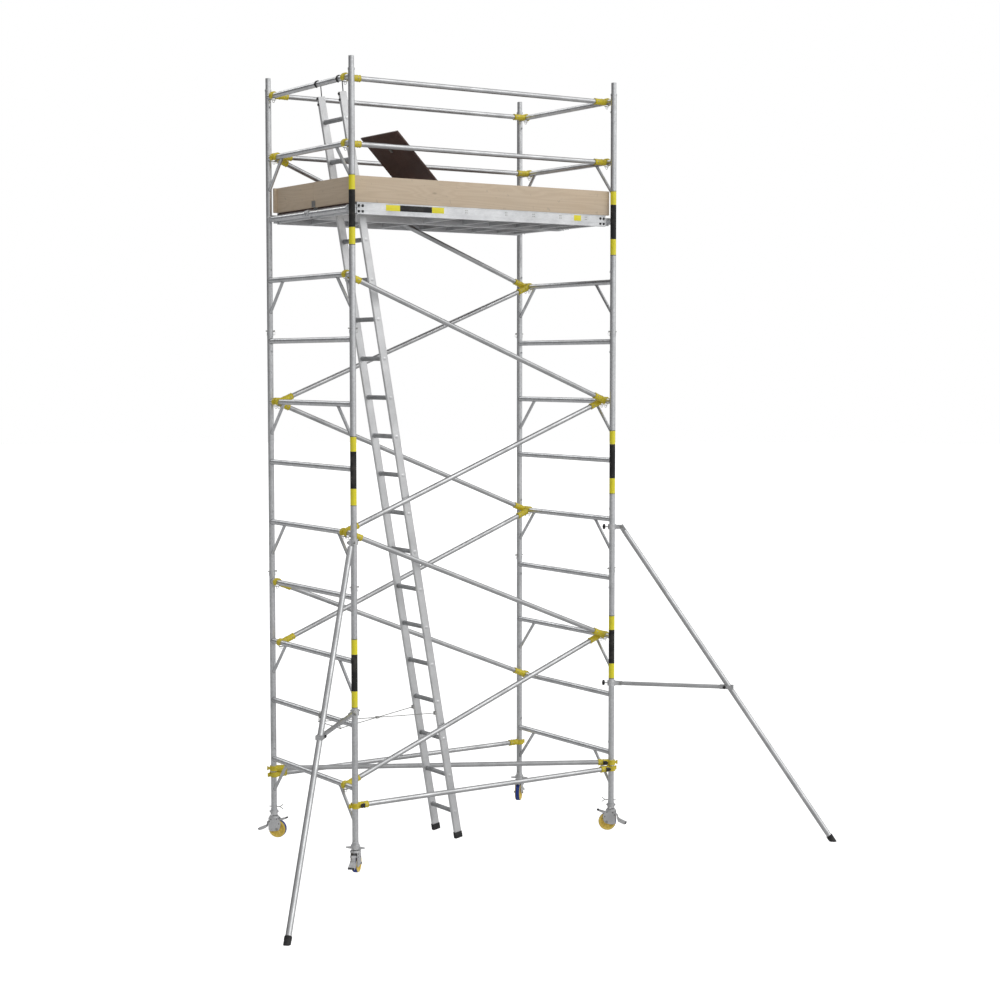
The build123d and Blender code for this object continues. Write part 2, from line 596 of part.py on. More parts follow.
def build_castor(corner):
    """Build and save one castor: jack nut, jack stem, fork, hub, tyre and brake pedal."""
    plane = castor_plane(corner)
    with BuildPart(plane) as jack_nut:
        for radius, low, high in ((30.0, 192.0, 231.7), (34.0, 212.0, 227.0), (joined_spigot_od / 2, 231.0, 250.0)):
            with Locations((0, 0, low)):
                Cylinder(radius, high - low, align=(Align.CENTER, Align.CENTER, Align.MIN))
        for side in (-1, 1):
            rod((0, side * 25, 203), (0, side * 71, 203), 5.5)
            with Locations((0, side * 71, 203)):
                Sphere(7.5)
            rod((side * 25, 0, 220), (side * 40, 0, 220), 6.0)
        rod((0, 0, 180), (0, 0, 260), stem_radius + 0.05, Mode.SUBTRACT)
    save(jack_nut.part, f"jack_nut_{corner}")

    with BuildPart(plane) as jack_stem:
        rod((0, 0, 185.3), (0, 0, stem_top), stem_radius)
        rod((0, 0, 178), (0, 0, 186), 10.0)
        rod((0, 0, 172.2), (0, 0, 178.2), 14.95)
        rod((0, 0, 200), (0, 0, stem_top + 1), 12.0, Mode.SUBTRACT)
    save(jack_stem.part, f"jack_stem_{corner}")

    with BuildPart(plane) as fork:
        rod((0, 0, 168), (0, 0, 176), 43)
        rod((0, 0, 176), (0, 0, 185), 37)
        for side in (-1, 1):
            plate(plane, cheek_outline, 2.0, side * 27.0)
            block((-33, side * 27.0 - 2.0, 167), (33, side * 27.0 + 2.0, 172))
        rod((0, 0, 171.9), (0, 0, 178.5), 15.0, Mode.SUBTRACT)
        rod((0, 0, 178), (0, 0, 190), 10.05, Mode.SUBTRACT)
        rod((-wheel_offset, -36, wheel_radius), (-wheel_offset, 36, wheel_radius), 8.0)
        for side in (-1, 1):
            rod((-wheel_offset, side * 29, wheel_radius), (-wheel_offset, side * 36, wheel_radius), 12.0)
            rod((34, side * 29, 138), (34, side * 33, 138), 9.0)
        rod((34, -31, 138), (34, 31, 138), 5.0)
    save(fork.part, f"castor_fork_{corner}")

    axle = (-wheel_offset, 0.0, wheel_radius)
    with BuildPart(plane) as hub:
        rod((axle[0], -22, axle[2]), (axle[0], 22, axle[2]), 64.0)
        for side in (-1, 1):
            rod((axle[0], side * 17, axle[2]), (axle[0], side * 22, axle[2]), 72.5)
        for side in (-1, 1):
            with Locations(Location((axle[0], side * 22, axle[2]), (90, 0, 0))):
                Cylinder(56, 16, mode=Mode.SUBTRACT)
                Cylinder(17, 16)
        rod((axle[0], -24.5, axle[2]), (axle[0], 24.5, axle[2]), 17.0)
        rod((axle[0], -40, axle[2]), (axle[0], 40, axle[2]), 8.05, Mode.SUBTRACT)
        for side in (-1, 1):
            block((axle[0] - 20, side * 34.0 - 9.5, axle[2] - 20), (axle[0] + 20, side * 34.0 + 9.5, axle[2] + 20),
                  Mode.SUBTRACT)
    save(hub.part, f"castor_hub_{corner}")

    with BuildPart(plane) as tyre:
        rod((axle[0], -16.9, axle[2]), (axle[0], 16.9, axle[2]), wheel_radius)
        fillet(tyre.edges().filter_by(GeomType.CIRCLE), 4.0)
        rod((axle[0], -20, axle[2]), (axle[0], 20, axle[2]), 64.1, Mode.SUBTRACT)
    save(tyre.part, f"castor_tyre_{corner}")

    with BuildPart(plane) as pedal:
        rod((34, -20, 138), (34, 20, 138), 10.5)
        plate(plane, release_outline, 16.0)
        plate(plane, toe_outline, 16.0)
        plate(plane, tread_outline, pedal_half)
        rod((34, -30, 138), (34, 30, 138), 5.05, Mode.SUBTRACT)
    save(pedal.part, f"brake_pedal_{corner}")


for corner in posts:
    build_castor(corner)


# ---------------------------------------------------------------- outriggers
def outrigger_plane(corner):
    """Floor plane under a front post, its X axis pointing along the outrigger."""
    px, py = posts[corner]
    angle = math.radians(outrigger_angle)
    sign = -inward_sign[corner][0]
    return Plane(origin=(px, py, 0), x_dir=(sign * math.cos(angle), -math.sin(angle), 0), z_dir=(0, 0, 1))


def build_outrigger(corner):
    """Build and save one outrigger: leg, rubber foot, strut and the two post clamps."""
    plane = outrigger_plane(corner)
    top = Vector(leg_pin_x, 0, outrigger_top)
    ground = Vector(outrigger_radius, 0, foot_axis_z)
    slope = (ground - top).normalized()
    start = top + slope * 40
    foot_start = ground - slope * 44
    middle = top + slope * ((top.Z - outrigger_low) / -slope.Z)
    with BuildPart(plane) as leg:
        tube(tuple(start), tuple(foot_start + slope * 20), leg_od, leg_od - 5)
        with Locations(Plane(origin=top + slope * 30, x_dir=(0, 1, 0), z_dir=slope)):
            Box(12, 41, 90)
        rod((top.X, -20, top.Z), (top.X, 20, top.Z), 8.0, Mode.SUBTRACT)
    save(leg.part, f"outrigger_leg_{corner}")

    with BuildPart(plane) as foot:
        rod(tuple(foot_start), tuple(ground + slope * 30), foot_radius)
        rod(tuple(foot_start - slope * 5), tuple(foot_start + slope * 20.1), leg_od / 2 + 0.05, Mode.SUBTRACT)
        block((outrigger_radius - 200, -100, -100), (outrigger_radius + 200, 100, 0), Mode.SUBTRACT)
    save(foot.part, f"outrigger_foot_{corner}")

    with BuildPart(plane) as strut:
        tube((110, 0, outrigger_low), (middle.X - 70, 0, outrigger_low), 34.0, 30.0)
        block((66, -6, outrigger_low - 15), (120, 6, outrigger_low + 15))
        rod((78, -20, outrigger_low), (78, 20, outrigger_low), 6.0, Mode.SUBTRACT)
        block((middle.X - 78, -27, outrigger_low - 16), (middle.X + 34, 27, outrigger_low + 16))
        rod(tuple(middle - slope * 90), tuple(middle + slope * 90), leg_od / 2 + 0.05, Mode.SUBTRACT)
    save(strut.part, f"outrigger_strut_{corner}")

    clamp_bodies = []
    for height, pin_x, pin_radius in ((outrigger_top, leg_pin_x, 7.95), (outrigger_low, 78.0, 5.95)):
        with BuildPart(plane) as clamp:
            rod((0, 0, height - 22), (0, 0, height + 22), 34.0)
            block((20, -19, height - 17), (pin_x + 12, 19, height + 17))
            block((pin_x - 36, -6.5, height - 40), (pin_x + 40, 6.5, height + 40), Mode.SUBTRACT)
            rod((pin_x, -24, height), (pin_x, 24, height), pin_radius)
            rod((-30, 0, height), (-58, 0, height), 6.0)
            rod((0, 0, height - 30), (0, 0, height + 30), swing_bore, Mode.SUBTRACT)
        clamp_bodies.extend(clamp.part.solids())
        with BuildPart(plane) as knob:
            rod((-58.1, 0, height), (-78, 0, height), 14.0)
            for step in range(5):
                turn = math.radians(72 * step + 18)
                dy = 15 * math.cos(turn)
                dz = 15 * math.sin(turn)
                rod((-60, dy, height + dz), (-76, dy, height + dz), 8.5)
        clamp_bodies.extend(knob.part.solids())
    clamps = Compound(children=clamp_bodies)
    save(clamps, f"outrigger_clamps_{corner}")


for corner in ("front_left", "front_right"):
    build_outrigger(corner)
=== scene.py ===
"""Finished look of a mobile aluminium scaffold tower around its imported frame."""
import logging
import math
from dataclasses import dataclass
from enum import Enum
from typing import Sequence

import bmesh
import bpy
from mathutils import Matrix, Vector


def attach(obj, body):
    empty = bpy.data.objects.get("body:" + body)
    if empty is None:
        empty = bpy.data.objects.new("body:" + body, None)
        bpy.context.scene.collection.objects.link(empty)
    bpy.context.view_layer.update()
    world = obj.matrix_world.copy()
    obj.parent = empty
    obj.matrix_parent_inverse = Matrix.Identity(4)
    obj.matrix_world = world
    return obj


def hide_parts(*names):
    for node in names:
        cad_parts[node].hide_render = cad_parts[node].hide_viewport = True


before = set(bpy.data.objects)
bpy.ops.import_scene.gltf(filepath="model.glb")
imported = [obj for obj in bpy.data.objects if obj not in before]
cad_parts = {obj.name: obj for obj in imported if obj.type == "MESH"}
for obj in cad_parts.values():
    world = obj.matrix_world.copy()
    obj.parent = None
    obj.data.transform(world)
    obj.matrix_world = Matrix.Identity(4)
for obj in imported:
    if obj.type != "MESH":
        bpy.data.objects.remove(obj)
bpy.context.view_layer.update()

LOG = logging.getLogger("tower")

Point = tuple[float, float, float]
Colour = tuple[float, float, float]


# ------------------------------------------------------------------ plan of the tower
class Corner(Enum):
    """The four posts, with the signs that point inwards along X and Y."""

    FRONT_LEFT = ("front_left", 1, 1)
    FRONT_RIGHT = ("front_right", -1, 1)
    REAR_LEFT = ("rear_left", 1, -1)
    REAR_RIGHT = ("rear_right", -1, -1)

    @property
    def label(self) -> str:
        """The corner's name in the frame's node and body names."""
        return self.value[0]

    @property
    def inward(self) -> tuple[int, int]:
        """Signs of the inward directions along X and Y."""
        return self.value[1], self.value[2]


@dataclass(frozen=True)
class TowerPlan:
    """Main sizes of the tower in metres, in the row frame."""

    left_x: float = -1.254
    right_x: float = 1.254
    front_y: float = -0.060654
    rear_y: float = 1.327346
    post_bottom: float = 0.232
    frame_height: float = 2.0
    first_rung: float = 0.672
    rung_pitch: float = 0.5
    rungs: int = 12
    post_radius: float = 0.02415
    rung_radius: float = 0.022

    def rung_z(self, number: int) -> float:
        """Height of a rung, counted from 1 at the bottom."""
        return self.first_rung + self.rung_pitch * (number - 1)

    def post(self, corner: Corner) -> Vector:
        """Foot of a post's centre line on the floor."""
        return self.post_at(*corner.inward)

    def post_at(self, side: int, depth: int) -> Vector:
        """Foot of the post whose inward signs are given."""
        x = self.left_x if side > 0 else self.right_x
        y = self.front_y if depth > 0 else self.rear_y
        return Vector((x, y, 0.0))


PLAN = TowerPlan()
DIAGONAL = math.sqrt(0.5)
X_AXIS = Vector((1.0, 0.0, 0.0))
Y_AXIS = Vector((0.0, 1.0, 0.0))
Z_AXIS = Vector((0.0, 0.0, 1.0))


# ------------------------------------------------------------------ node trees
class Socket:
    """An output socket that adds Math nodes when it is used in an expression."""

    def __init__(self, tree: "NodeTree", socket: bpy.types.NodeSocket) -> None:
        """Keep the tree and the wrapped socket."""
        self.tree = tree
        self.socket = socket

    def maths(self, operation: str, *others: "Socket | float") -> "Socket":
        """Add one Math node.

        Args:
            operation: the Math node's operation.
            others: the values after this one.

        Returns:
            The node's output.
        """
        values = {index: value for index, value in enumerate((self, *others))}
        return self.tree.add("ShaderNodeMath", {"operation": operation}, values)

    def _swapped(self, operation: str, other: float) -> "Socket":
        """Add a Math node with this value second."""
        return self.tree.add("ShaderNodeMath", {"operation": operation}, {0: other, 1: self})

    def __add__(self, other: "Socket | float") -> "Socket":
        """Sum."""
        return self.maths("ADD", other)

    def __radd__(self, other: float) -> "Socket":
        """Sum with a plain number first."""
        return self._swapped("ADD", other)

    def __sub__(self, other: "Socket | float") -> "Socket":
        """Difference."""
        return self.maths("SUBTRACT", other)

    def __rsub__(self, other: float) -> "Socket":
        """Difference with a plain number first."""
        return self._swapped("SUBTRACT", other)

    def __mul__(self, other: "Socket | float") -> "Socket":
        """Product."""
        return self.maths("MULTIPLY", other)

    def __rmul__(self, other: float) -> "Socket":
        """Product with a plain number first."""
        return self._swapped("MULTIPLY", other)

    def __truediv__(self, other: "Socket | float") -> "Socket":
        """Quotient."""
        return self.maths("DIVIDE", other)

    def clamped(self) -> "Socket":
        """The value held between zero and one."""
        return self.maths("MINIMUM", 1.0).maths("MAXIMUM", 0.0)

    def between(self, low: float, high: float) -> "Socket":
        """The value's smooth rise from zero at low to one at high."""
        return ((self - low) * (1.0 / (high - low))).clamped()


class NodeTree:
    """A shader or geometry node tree that is built by one method."""

    def __init__(self, tree: bpy.types.NodeTree) -> None:
        """Keep the Blender tree."""
        self.tree = tree

    def add(
        self,
        kind: str,
        settings: dict | None = None,
        inputs: dict | None = None,
        output: int | str = 0,
    ) -> Socket:
        """Add one node, set it up and join it to others.

        Args:
            kind: the node's type name.
            settings: properties set before the sockets; "stops" fills a colour ramp.
            inputs: values or sockets by input name or index.
            output: the output to hand back.

        Returns:
            The wrapped output socket.
        """
        node = self.tree.nodes.new(kind)
        for name, value in (settings or {}).items():
            if name == "stops":
                self._fill_ramp(node.color_ramp, value)
            else:
                setattr(node, name, value)
        for key, value in (inputs or {}).items():
            target = node.inputs[key]
            if isinstance(value, Socket):
                self.tree.links.new(value.socket, target)
            elif isinstance(value, tuple) and len(value) == 3 and target.type == "RGBA":
                target.default_value = (*value, 1.0)
            else:
                target.default_value = value
        return Socket(self, node.outputs[output] if node.outputs else None)

    @staticmethod
    def _fill_ramp(ramp: bpy.types.ColorRamp, stops: Sequence[tuple[float, Colour]]) -> None:
        """Fill a colour ramp from positions and colours."""
        while len(ramp.elements) < len(stops):
            ramp.elements.new(0.5)
        for element, (position, colour) in zip(ramp.elements, stops):
            element.position = position
            element.color = (*colour, 1.0)


class Paint(NodeTree):
    """A material's shader tree with the helpers that the finishes share."""

    def __init__(self, name: str) -> None:
        """Start an empty material on object coordinates."""
        self.material = bpy.data.materials.new(name)
        self.material.use_nodes = True
        super().__init__(self.material.node_tree)
        self.tree.nodes.clear()
        self.place = self.add("ShaderNodeTexCoord", output="Object")

    def stretched(self, scale: Point, turn: Point = (0.0, 0.0, 0.0)) -> Socket:
        """Object coordinates stretched and turned."""
        return self.add("ShaderNodeMapping", {}, {"Vector": self.place, "Scale": scale, "Rotation": turn})

    def noise(
        self, scale: float, detail: float = 3.0, where: Socket | None = None, warp: float = 0.0
    ) -> Socket:
        """Cloudy noise between zero and one."""
        inputs = {"Vector": where or self.place, "Scale": scale, "Detail": detail, "Distortion": warp}
        return self.add("ShaderNodeTexNoise", {}, inputs)

    def cells(self, scale: float, where: Socket) -> Socket:
        """Distance from the centres of random cells."""
        return self.add("ShaderNodeTexVoronoi", {"feature": "F1"}, {"Vector": where, "Scale": scale})

    def grains(self, scale: float) -> Socket:
        """One random value for each cell."""
        colour = self.add("ShaderNodeTexVoronoi", {}, {"Vector": self.place, "Scale": scale}, output="Color")
        return self.add("ShaderNodeSeparateXYZ", {}, {0: colour})

    def blend(self, amount: Socket | float, low: Socket | Colour, high: Socket | Colour) -> Socket:
        """Mix two colours."""
        inputs = {0: amount, 6: low, 7: high}
        return self.add("ShaderNodeMix", {"data_type": "RGBA"}, inputs, output=2)

    def bump(self, height: Socket, distance: float, strength: float) -> Socket:
        """Turn a height into a normal."""
        return self.add("ShaderNodeBump", {}, {"Height": height, "Distance": distance, "Strength": strength})

    def close(self, **sockets: "Socket | float | Colour") -> bpy.types.Material:
        """Finish with a Principled shader.

        Args:
            sockets: Principled inputs, with underscores for the spaces of their names.

        Returns:
            The finished material.
        """
        inputs = {name.replace("_", " "): value for name, value in sockets.items()}
        shader = self.add("ShaderNodeBsdfPrincipled", {}, inputs)
        self.add("ShaderNodeOutputMaterial", {}, {"Surface": shader})
        return self.material


# ------------------------------------------------------------------ finishes
@dataclass(frozen=True)
class MetalFinish:
    """Bare or plated metal with clouds, scratches and dirt.

    Attributes:
        name: material name.
        bright: colour of the clean metal.
        dull: colour of its oxidised patches.
        gloss: roughness where it is clean.
        wear: added roughness where it is dull.
        stretch: how the drawing lines run, as a scale of each axis.
        spangle: size of zinc crystals in metres, or zero for none.
        metallic: how metallic it looks.
    """

    name: str
    bright: Colour
    dull: Colour
    gloss: float = 0.32
    wear: float = 0.2
    stretch: Point = (1.0, 1.0, 1.0)
    spangle: float = 0.0
    metallic: float = 0.9

    def material(self) -> bpy.types.Material:
        """Build the shader."""
        paint = Paint(self.name)
        clouds = paint.noise(7.0, 5.0)
        lines = paint.noise(38.0, 4.0, paint.stretched(self.stretch))
        fine = paint.noise(420.0, 2.0, paint.stretched(self.stretch))
        mix = clouds.between(0.35, 0.68) * 0.55 + lines.between(0.3, 0.7) * 0.45
        if self.spangle:
            crystal = paint.grains(1.0 / self.spangle)
            mix = mix * 0.6 + crystal * 0.4
        colour = paint.blend(mix, self.dull, self.bright)
        stain = paint.noise(2.6, 6.0, warp=0.6).between(0.56, 0.74)
        colour = paint.blend(stain * 0.4, colour, tuple(part * 0.62 for part in self.dull))
        rough = (1.0 - mix) * self.wear + self.gloss + fine * 0.06 + stain * 0.1
        height = lines * 0.5 + fine * 0.5
        normal = paint.bump(height, 0.0004, 0.35)
        return paint.close(Base_Color=colour, Metallic=self.metallic, Roughness=rough, Normal=normal)


@dataclass(frozen=True)
class CoatFinish:
    """Paint, powder coat or moulded plastic with chips that show what is under it.

    Attributes:
        name: material name.
        coat: colour of the coat.
        shade: a darker tone it drifts to.
        under: colour where it is chipped.
        chips: share of the chips, as the noise level above which they show.
        rough: roughness of the coat.
        grain: bump size in metres.
        gloss: weight of a clear coat on top.
        cast: how strong the cast or moulded texture is.
    """

    name: str
    coat: Colour
    shade: Colour
    under: Colour = (0.35, 0.34, 0.33)
    chips: float = 0.72
    rough: float = 0.42
    grain: float = 0.0006
    gloss: float = 0.0
    cast: float = 0.3

    def material(self) -> bpy.types.Material:
        """Build the shader."""
        paint = Paint(self.name)
        drift = paint.noise(9.0, 4.0)
        skin = paint.noise(260.0, 3.0)
        worn = paint.noise(55.0, 6.0, warp=0.8).between(self.chips, self.chips + 0.03)
        dust = paint.noise(18.0, 5.0).between(0.5, 0.8)
        colour = paint.blend(drift.between(0.3, 0.7), self.shade, self.coat)
        colour = paint.blend(dust * 0.18, colour, (0.34, 0.31, 0.27))
        colour = paint.blend(worn, colour, self.under)
        rough = skin * 0.1 + dust * 0.18 + self.rough
        normal = paint.bump(skin * self.cast - worn * 0.4, self.grain, 0.6)
        return paint.close(Base_Color=colour, Roughness=rough, Coat_Weight=self.gloss, Normal=normal)


@dataclass(frozen=True)
class TimberFinish:
    """Sawn softwood with rings, fibres and knots.

    Attributes:
        name: material name.
        along: the axis the grain runs along, 0 for X or 1 for Y.
        pale: colour of the early wood.
        dark: colour of the late wood.
    """

    name: str
    along: int
    pale: Colour = (0.72, 0.585, 0.435)
    dark: Colour = (0.56, 0.425, 0.285)

    def material(self) -> bpy.types.Material:
        """Build the shader."""
        paint = Paint(self.name)
        run = 0.35 if self.along == 0 else 9.0
        span = 9.0 if self.along == 0 else 0.35
        grain = paint.stretched((run, span, 9.0))
        spots = paint.stretched((1.6, 4.0, 4.6) if self.along == 0 else (4.0, 1.6, 4.6))
        knot = paint.cells(1.15, spots)
        near = 1.0 - knot.between(0.05, 0.42)
        sweep = paint.noise(1.1, 2.0, grain)
        rings = ((sweep * 11.0 + near * 2.2) * math.tau).maths("SINE") * 0.5 + 0.5
        fibres = paint.noise(60.0, 4.0, grain)
        clouds = paint.noise(1.7, 3.0)
        colour = paint.blend(rings * 0.30 + fibres * 0.30, self.pale, self.dark)
        colour = paint.blend(clouds.between(0.3, 0.75) * 0.25, colour, (0.62, 0.55, 0.45))
        core = 1.0 - knot.between(0.025, 0.075)
        colour = paint.blend(core * 0.8, colour, (0.12, 0.055, 0.025))
        scuffs = paint.noise(24.0, 6.0, warp=1.0).between(0.64, 0.72)
        colour = paint.blend(scuffs * 0.3, colour, (0.30, 0.25, 0.20))
        rough = fibres * 0.15 + 0.68 - core * 0.2
        normal = paint.bump(rings * 0.3 + fibres * 0.7, 0.0007, 0.5)
        return paint.close(Base_Color=colour, Roughness=rough, Normal=normal)


@dataclass(frozen=True)
class MeshPlyFinish:
    """Brown film-faced board with a pressed wire-mesh grip pattern, its pressed lines darkened as painted shade.

    Attributes:
        name: material name.
        film: colour of the resin film.
        pitch: spacing of the pressed diamonds in metres.
        turn: angle about Y that lays the pattern in the board's plane.
    """

    name: str
    film: Colour = (0.060, 0.027, 0.020)
    pitch: float = 0.0075
    turn: float = 0.0

    def material(self) -> bpy.types.Material:
        """Build the shader."""
        paint = Paint(self.name)
        turned = paint.stretched((1.0, 1.0, 1.0), (0.0, self.turn, 0.0))
        parts = paint.add("ShaderNodeSeparateXYZ", {}, {0: turned})
        across = Socket(paint, parts.socket.node.outputs[1])
        rate = math.tau / (2.0 * self.pitch)
        first = ((parts + across) * rate).maths("SINE").maths("ABSOLUTE")
        second = ((parts - across) * rate).maths("SINE").maths("ABSOLUTE")
        mesh = 1.0 - first.maths("MINIMUM", second).between(0.08, 0.3)
        tone = paint.noise(5.0, 5.0)
        speck = paint.noise(150.0, 3.0)
        scuff = paint.noise(11.0, 7.0, warp=1.2).between(0.58, 0.7)
        colour = paint.blend(tone.between(0.3, 0.7), self.film, tuple(part * 1.7 for part in self.film))
        # Painted shade: the sunk mesh lines are darkened in colour as well as lowered by the bump.
        colour = paint.blend(mesh * 0.35, colour, tuple(part * 0.5 for part in self.film))
        colour = paint.blend(speck.between(0.6, 0.75) * 0.35, colour, (0.16, 0.10, 0.085))
        colour = paint.blend(scuff * 0.22, colour, (0.24, 0.20, 0.17))
        rough = speck * 0.12 + scuff * 0.2 + 0.42
        normal = paint.bump(speck * 0.25 - mesh, 0.0009, 0.7)
        return paint.close(Base_Color=colour, Roughness=rough, Normal=normal)


@dataclass(frozen=True)
class RubberFinish:
    """Rubber with a dusty, slightly grained skin."""

    name: str
    colour: Colour = (0.018, 0.018, 0.019)
    dust: Colour = (0.11, 0.105, 0.10)
    rough: float = 0.62

    def material(self) -> bpy.types.Material:
        """Build the shader."""
        paint = Paint(self.name)
        skin = paint.noise(340.0, 3.0)
        dirt = paint.noise(26.0, 6.0, warp=0.5).between(0.45, 0.8)
        colour = paint.blend(dirt * 0.45, self.colour, self.dust)
        rough = skin * 0.12 + dirt * 0.15 + self.rough
        normal = paint.bump(skin, 0.0005, 0.5)
        return paint.close(Base_Color=colour, Roughness=rough, Normal=normal)


class Finishes:
    """Every material of the tower, built once and handed out by name."""

    def __init__(self) -> None:
        """Build all the finishes."""
        zinc = MetalFinish(
            "galvanised_tube", (0.80, 0.81, 0.82), (0.56, 0.57, 0.58), 0.26, 0.18, (9.0, 9.0, 1.0), 0.014
        )
        self.galvanised = zinc.material()
        self.brace = MetalFinish(
            "brace_alloy", (0.68, 0.685, 0.69), (0.46, 0.465, 0.47), 0.26, 0.16, (0.6, 12.0, 12.0)
        ).material()
        self.mill = MetalFinish(
            "mill_alloy", (0.82, 0.83, 0.84), (0.62, 0.63, 0.64), 0.34, 0.2, (1.0, 14.0, 6.0)
        ).material()
        self.stile = MetalFinish(
            "stile_alloy", (0.84, 0.845, 0.85), (0.66, 0.665, 0.67), 0.32, 0.16, (14.0, 14.0, 1.0)
        ).material()
        # The rungs take a darker copy of the stiles' alloy: painted shade on the ladder rungs.
        self.rung = MetalFinish(
            "ladder_rung_alloy", (0.50, 0.51, 0.52), (0.32, 0.325, 0.33), 0.38, 0.2, (12.0, 1.0, 12.0)
        ).material()
        self.weld = MetalFinish(
            "weld_bead", (0.56, 0.56, 0.57), (0.34, 0.34, 0.35), 0.42, 0.2, (30.0, 30.0, 30.0)
        ).material()
        self.zinc_pin = MetalFinish(
            "zinc_plate", (0.58, 0.58, 0.57), (0.36, 0.36, 0.34), 0.28, 0.22, (4.0, 4.0, 4.0)
        ).material()
        self.cast_zinc = MetalFinish(
            "cast_grey", (0.86, 0.865, 0.87), (0.60, 0.605, 0.61), 0.30, 0.2, (5.0, 5.0, 5.0), 0.004, 0.85
        ).material()
        self.dark_steel = CoatFinish(
            "black_steel", (0.022, 0.022, 0.024), (0.014, 0.014, 0.015), (0.22, 0.22, 0.22),
            0.70, 0.38, 0.0004
        ).material()
        self.hook_yellow = CoatFinish(
            "hook_yellow", (0.80, 0.66, 0.03), (0.66, 0.53, 0.02), (0.36, 0.33, 0.26),
            0.70, 0.40, 0.0007, 0.15
        ).material()
        self.label_yellow = CoatFinish(
            "label_yellow", (0.94, 0.84, 0.02), (0.88, 0.78, 0.02), (0.5, 0.48, 0.4),
            0.80, 0.34, 0.0001, 0.3, 0.1
        ).material()
        self.label_black = CoatFinish(
            "label_black", (0.009, 0.009, 0.009), (0.006, 0.006, 0.006), (0.2, 0.2, 0.2),
            0.80, 0.62, 0.0001, 0.0, 0.1
        ).material()
        self.knob_black = CoatFinish(
            "knob_black", (0.016, 0.016, 0.017), (0.011, 0.011, 0.012), (0.09, 0.09, 0.09),
            0.76, 0.36, 0.0004, 0.1
        ).material()
        self.wheel_yellow = CoatFinish(
            "wheel_yellow", (0.92, 0.70, 0.13), (0.84, 0.60, 0.10), (0.32, 0.26, 0.18),
            0.76, 0.34, 0.0003, 0.25
        ).material()
        self.wheel_blue = RubberFinish(
            "wheel_blue", (0.012, 0.045, 0.30), (0.10, 0.12, 0.20), 0.45
        ).material()
        self.rubber = RubberFinish("foot_rubber").material()
        self.deck = MeshPlyFinish("deck_film").material()
        self.lid = MeshPlyFinish("lid_film", turn=math.radians(45.0)).material()
        self.board_long = TimberFinish("toe_board_long", 0).material()
        self.board_short = TimberFinish("toe_board_short", 1).material()


def dress(node: str, *materials: bpy.types.Material) -> bpy.types.Object:
    """Put materials on a node of the frame.

    Args:
        node: the frame node's name.
        materials: the material for every face, then any others to be given by place.

    Returns:
        The node's object.
    """
    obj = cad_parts[node]
    obj.data.materials.clear()
    for material in materials:
        obj.data.materials.append(material)
    return obj


# ------------------------------------------------------------------ shapes
def circle(centre: Vector, side: Vector, up: Vector, radius: float, count: int) -> list[Vector]:
    """Points of a circle in the plane of two unit directions."""
    return [
        centre + side * (radius * math.cos(math.tau * k / count)) + up * (radius * math.sin(math.tau * k / count))
        for k in range(count)
    ]


def ring(part: bmesh.types.BMesh, radius: float, height: float, sides: int) -> list[bmesh.types.BMVert]:
    """One level ring of points about Z, or a single point if the radius is zero."""
    if radius <= 0.0:
        return [part.verts.new((0.0, 0.0, height))]
    points = circle(Vector((0.0, 0.0, height)), X_AXIS, Y_AXIS, radius, sides)
    return [part.verts.new(point) for point in points]


def skin(part: bmesh.types.BMesh, rings: list[list[bmesh.types.BMVert]], closed: bool = False) -> None:
    """Join rings of points with faces, one to the next.

    Args:
        part: the mesh that holds the points.
        rings: the rings in order; a ring of one point is a pole.
        closed: whether the last ring joins the first.
    """
    following = rings[1:] + rings[:1] if closed else rings[1:]
    for lower, upper in zip(rings, following):
        sides = max(len(lower), len(upper))
        for k in range(sides):
            after = (k + 1) % sides
            if len(lower) == 1:
                part.faces.new((lower[0], upper[after], upper[k]))
            elif len(upper) == 1:
                part.faces.new((lower[k], lower[after], upper[0]))
            else:
                part.faces.new((lower[k], lower[after], upper[after], upper[k]))


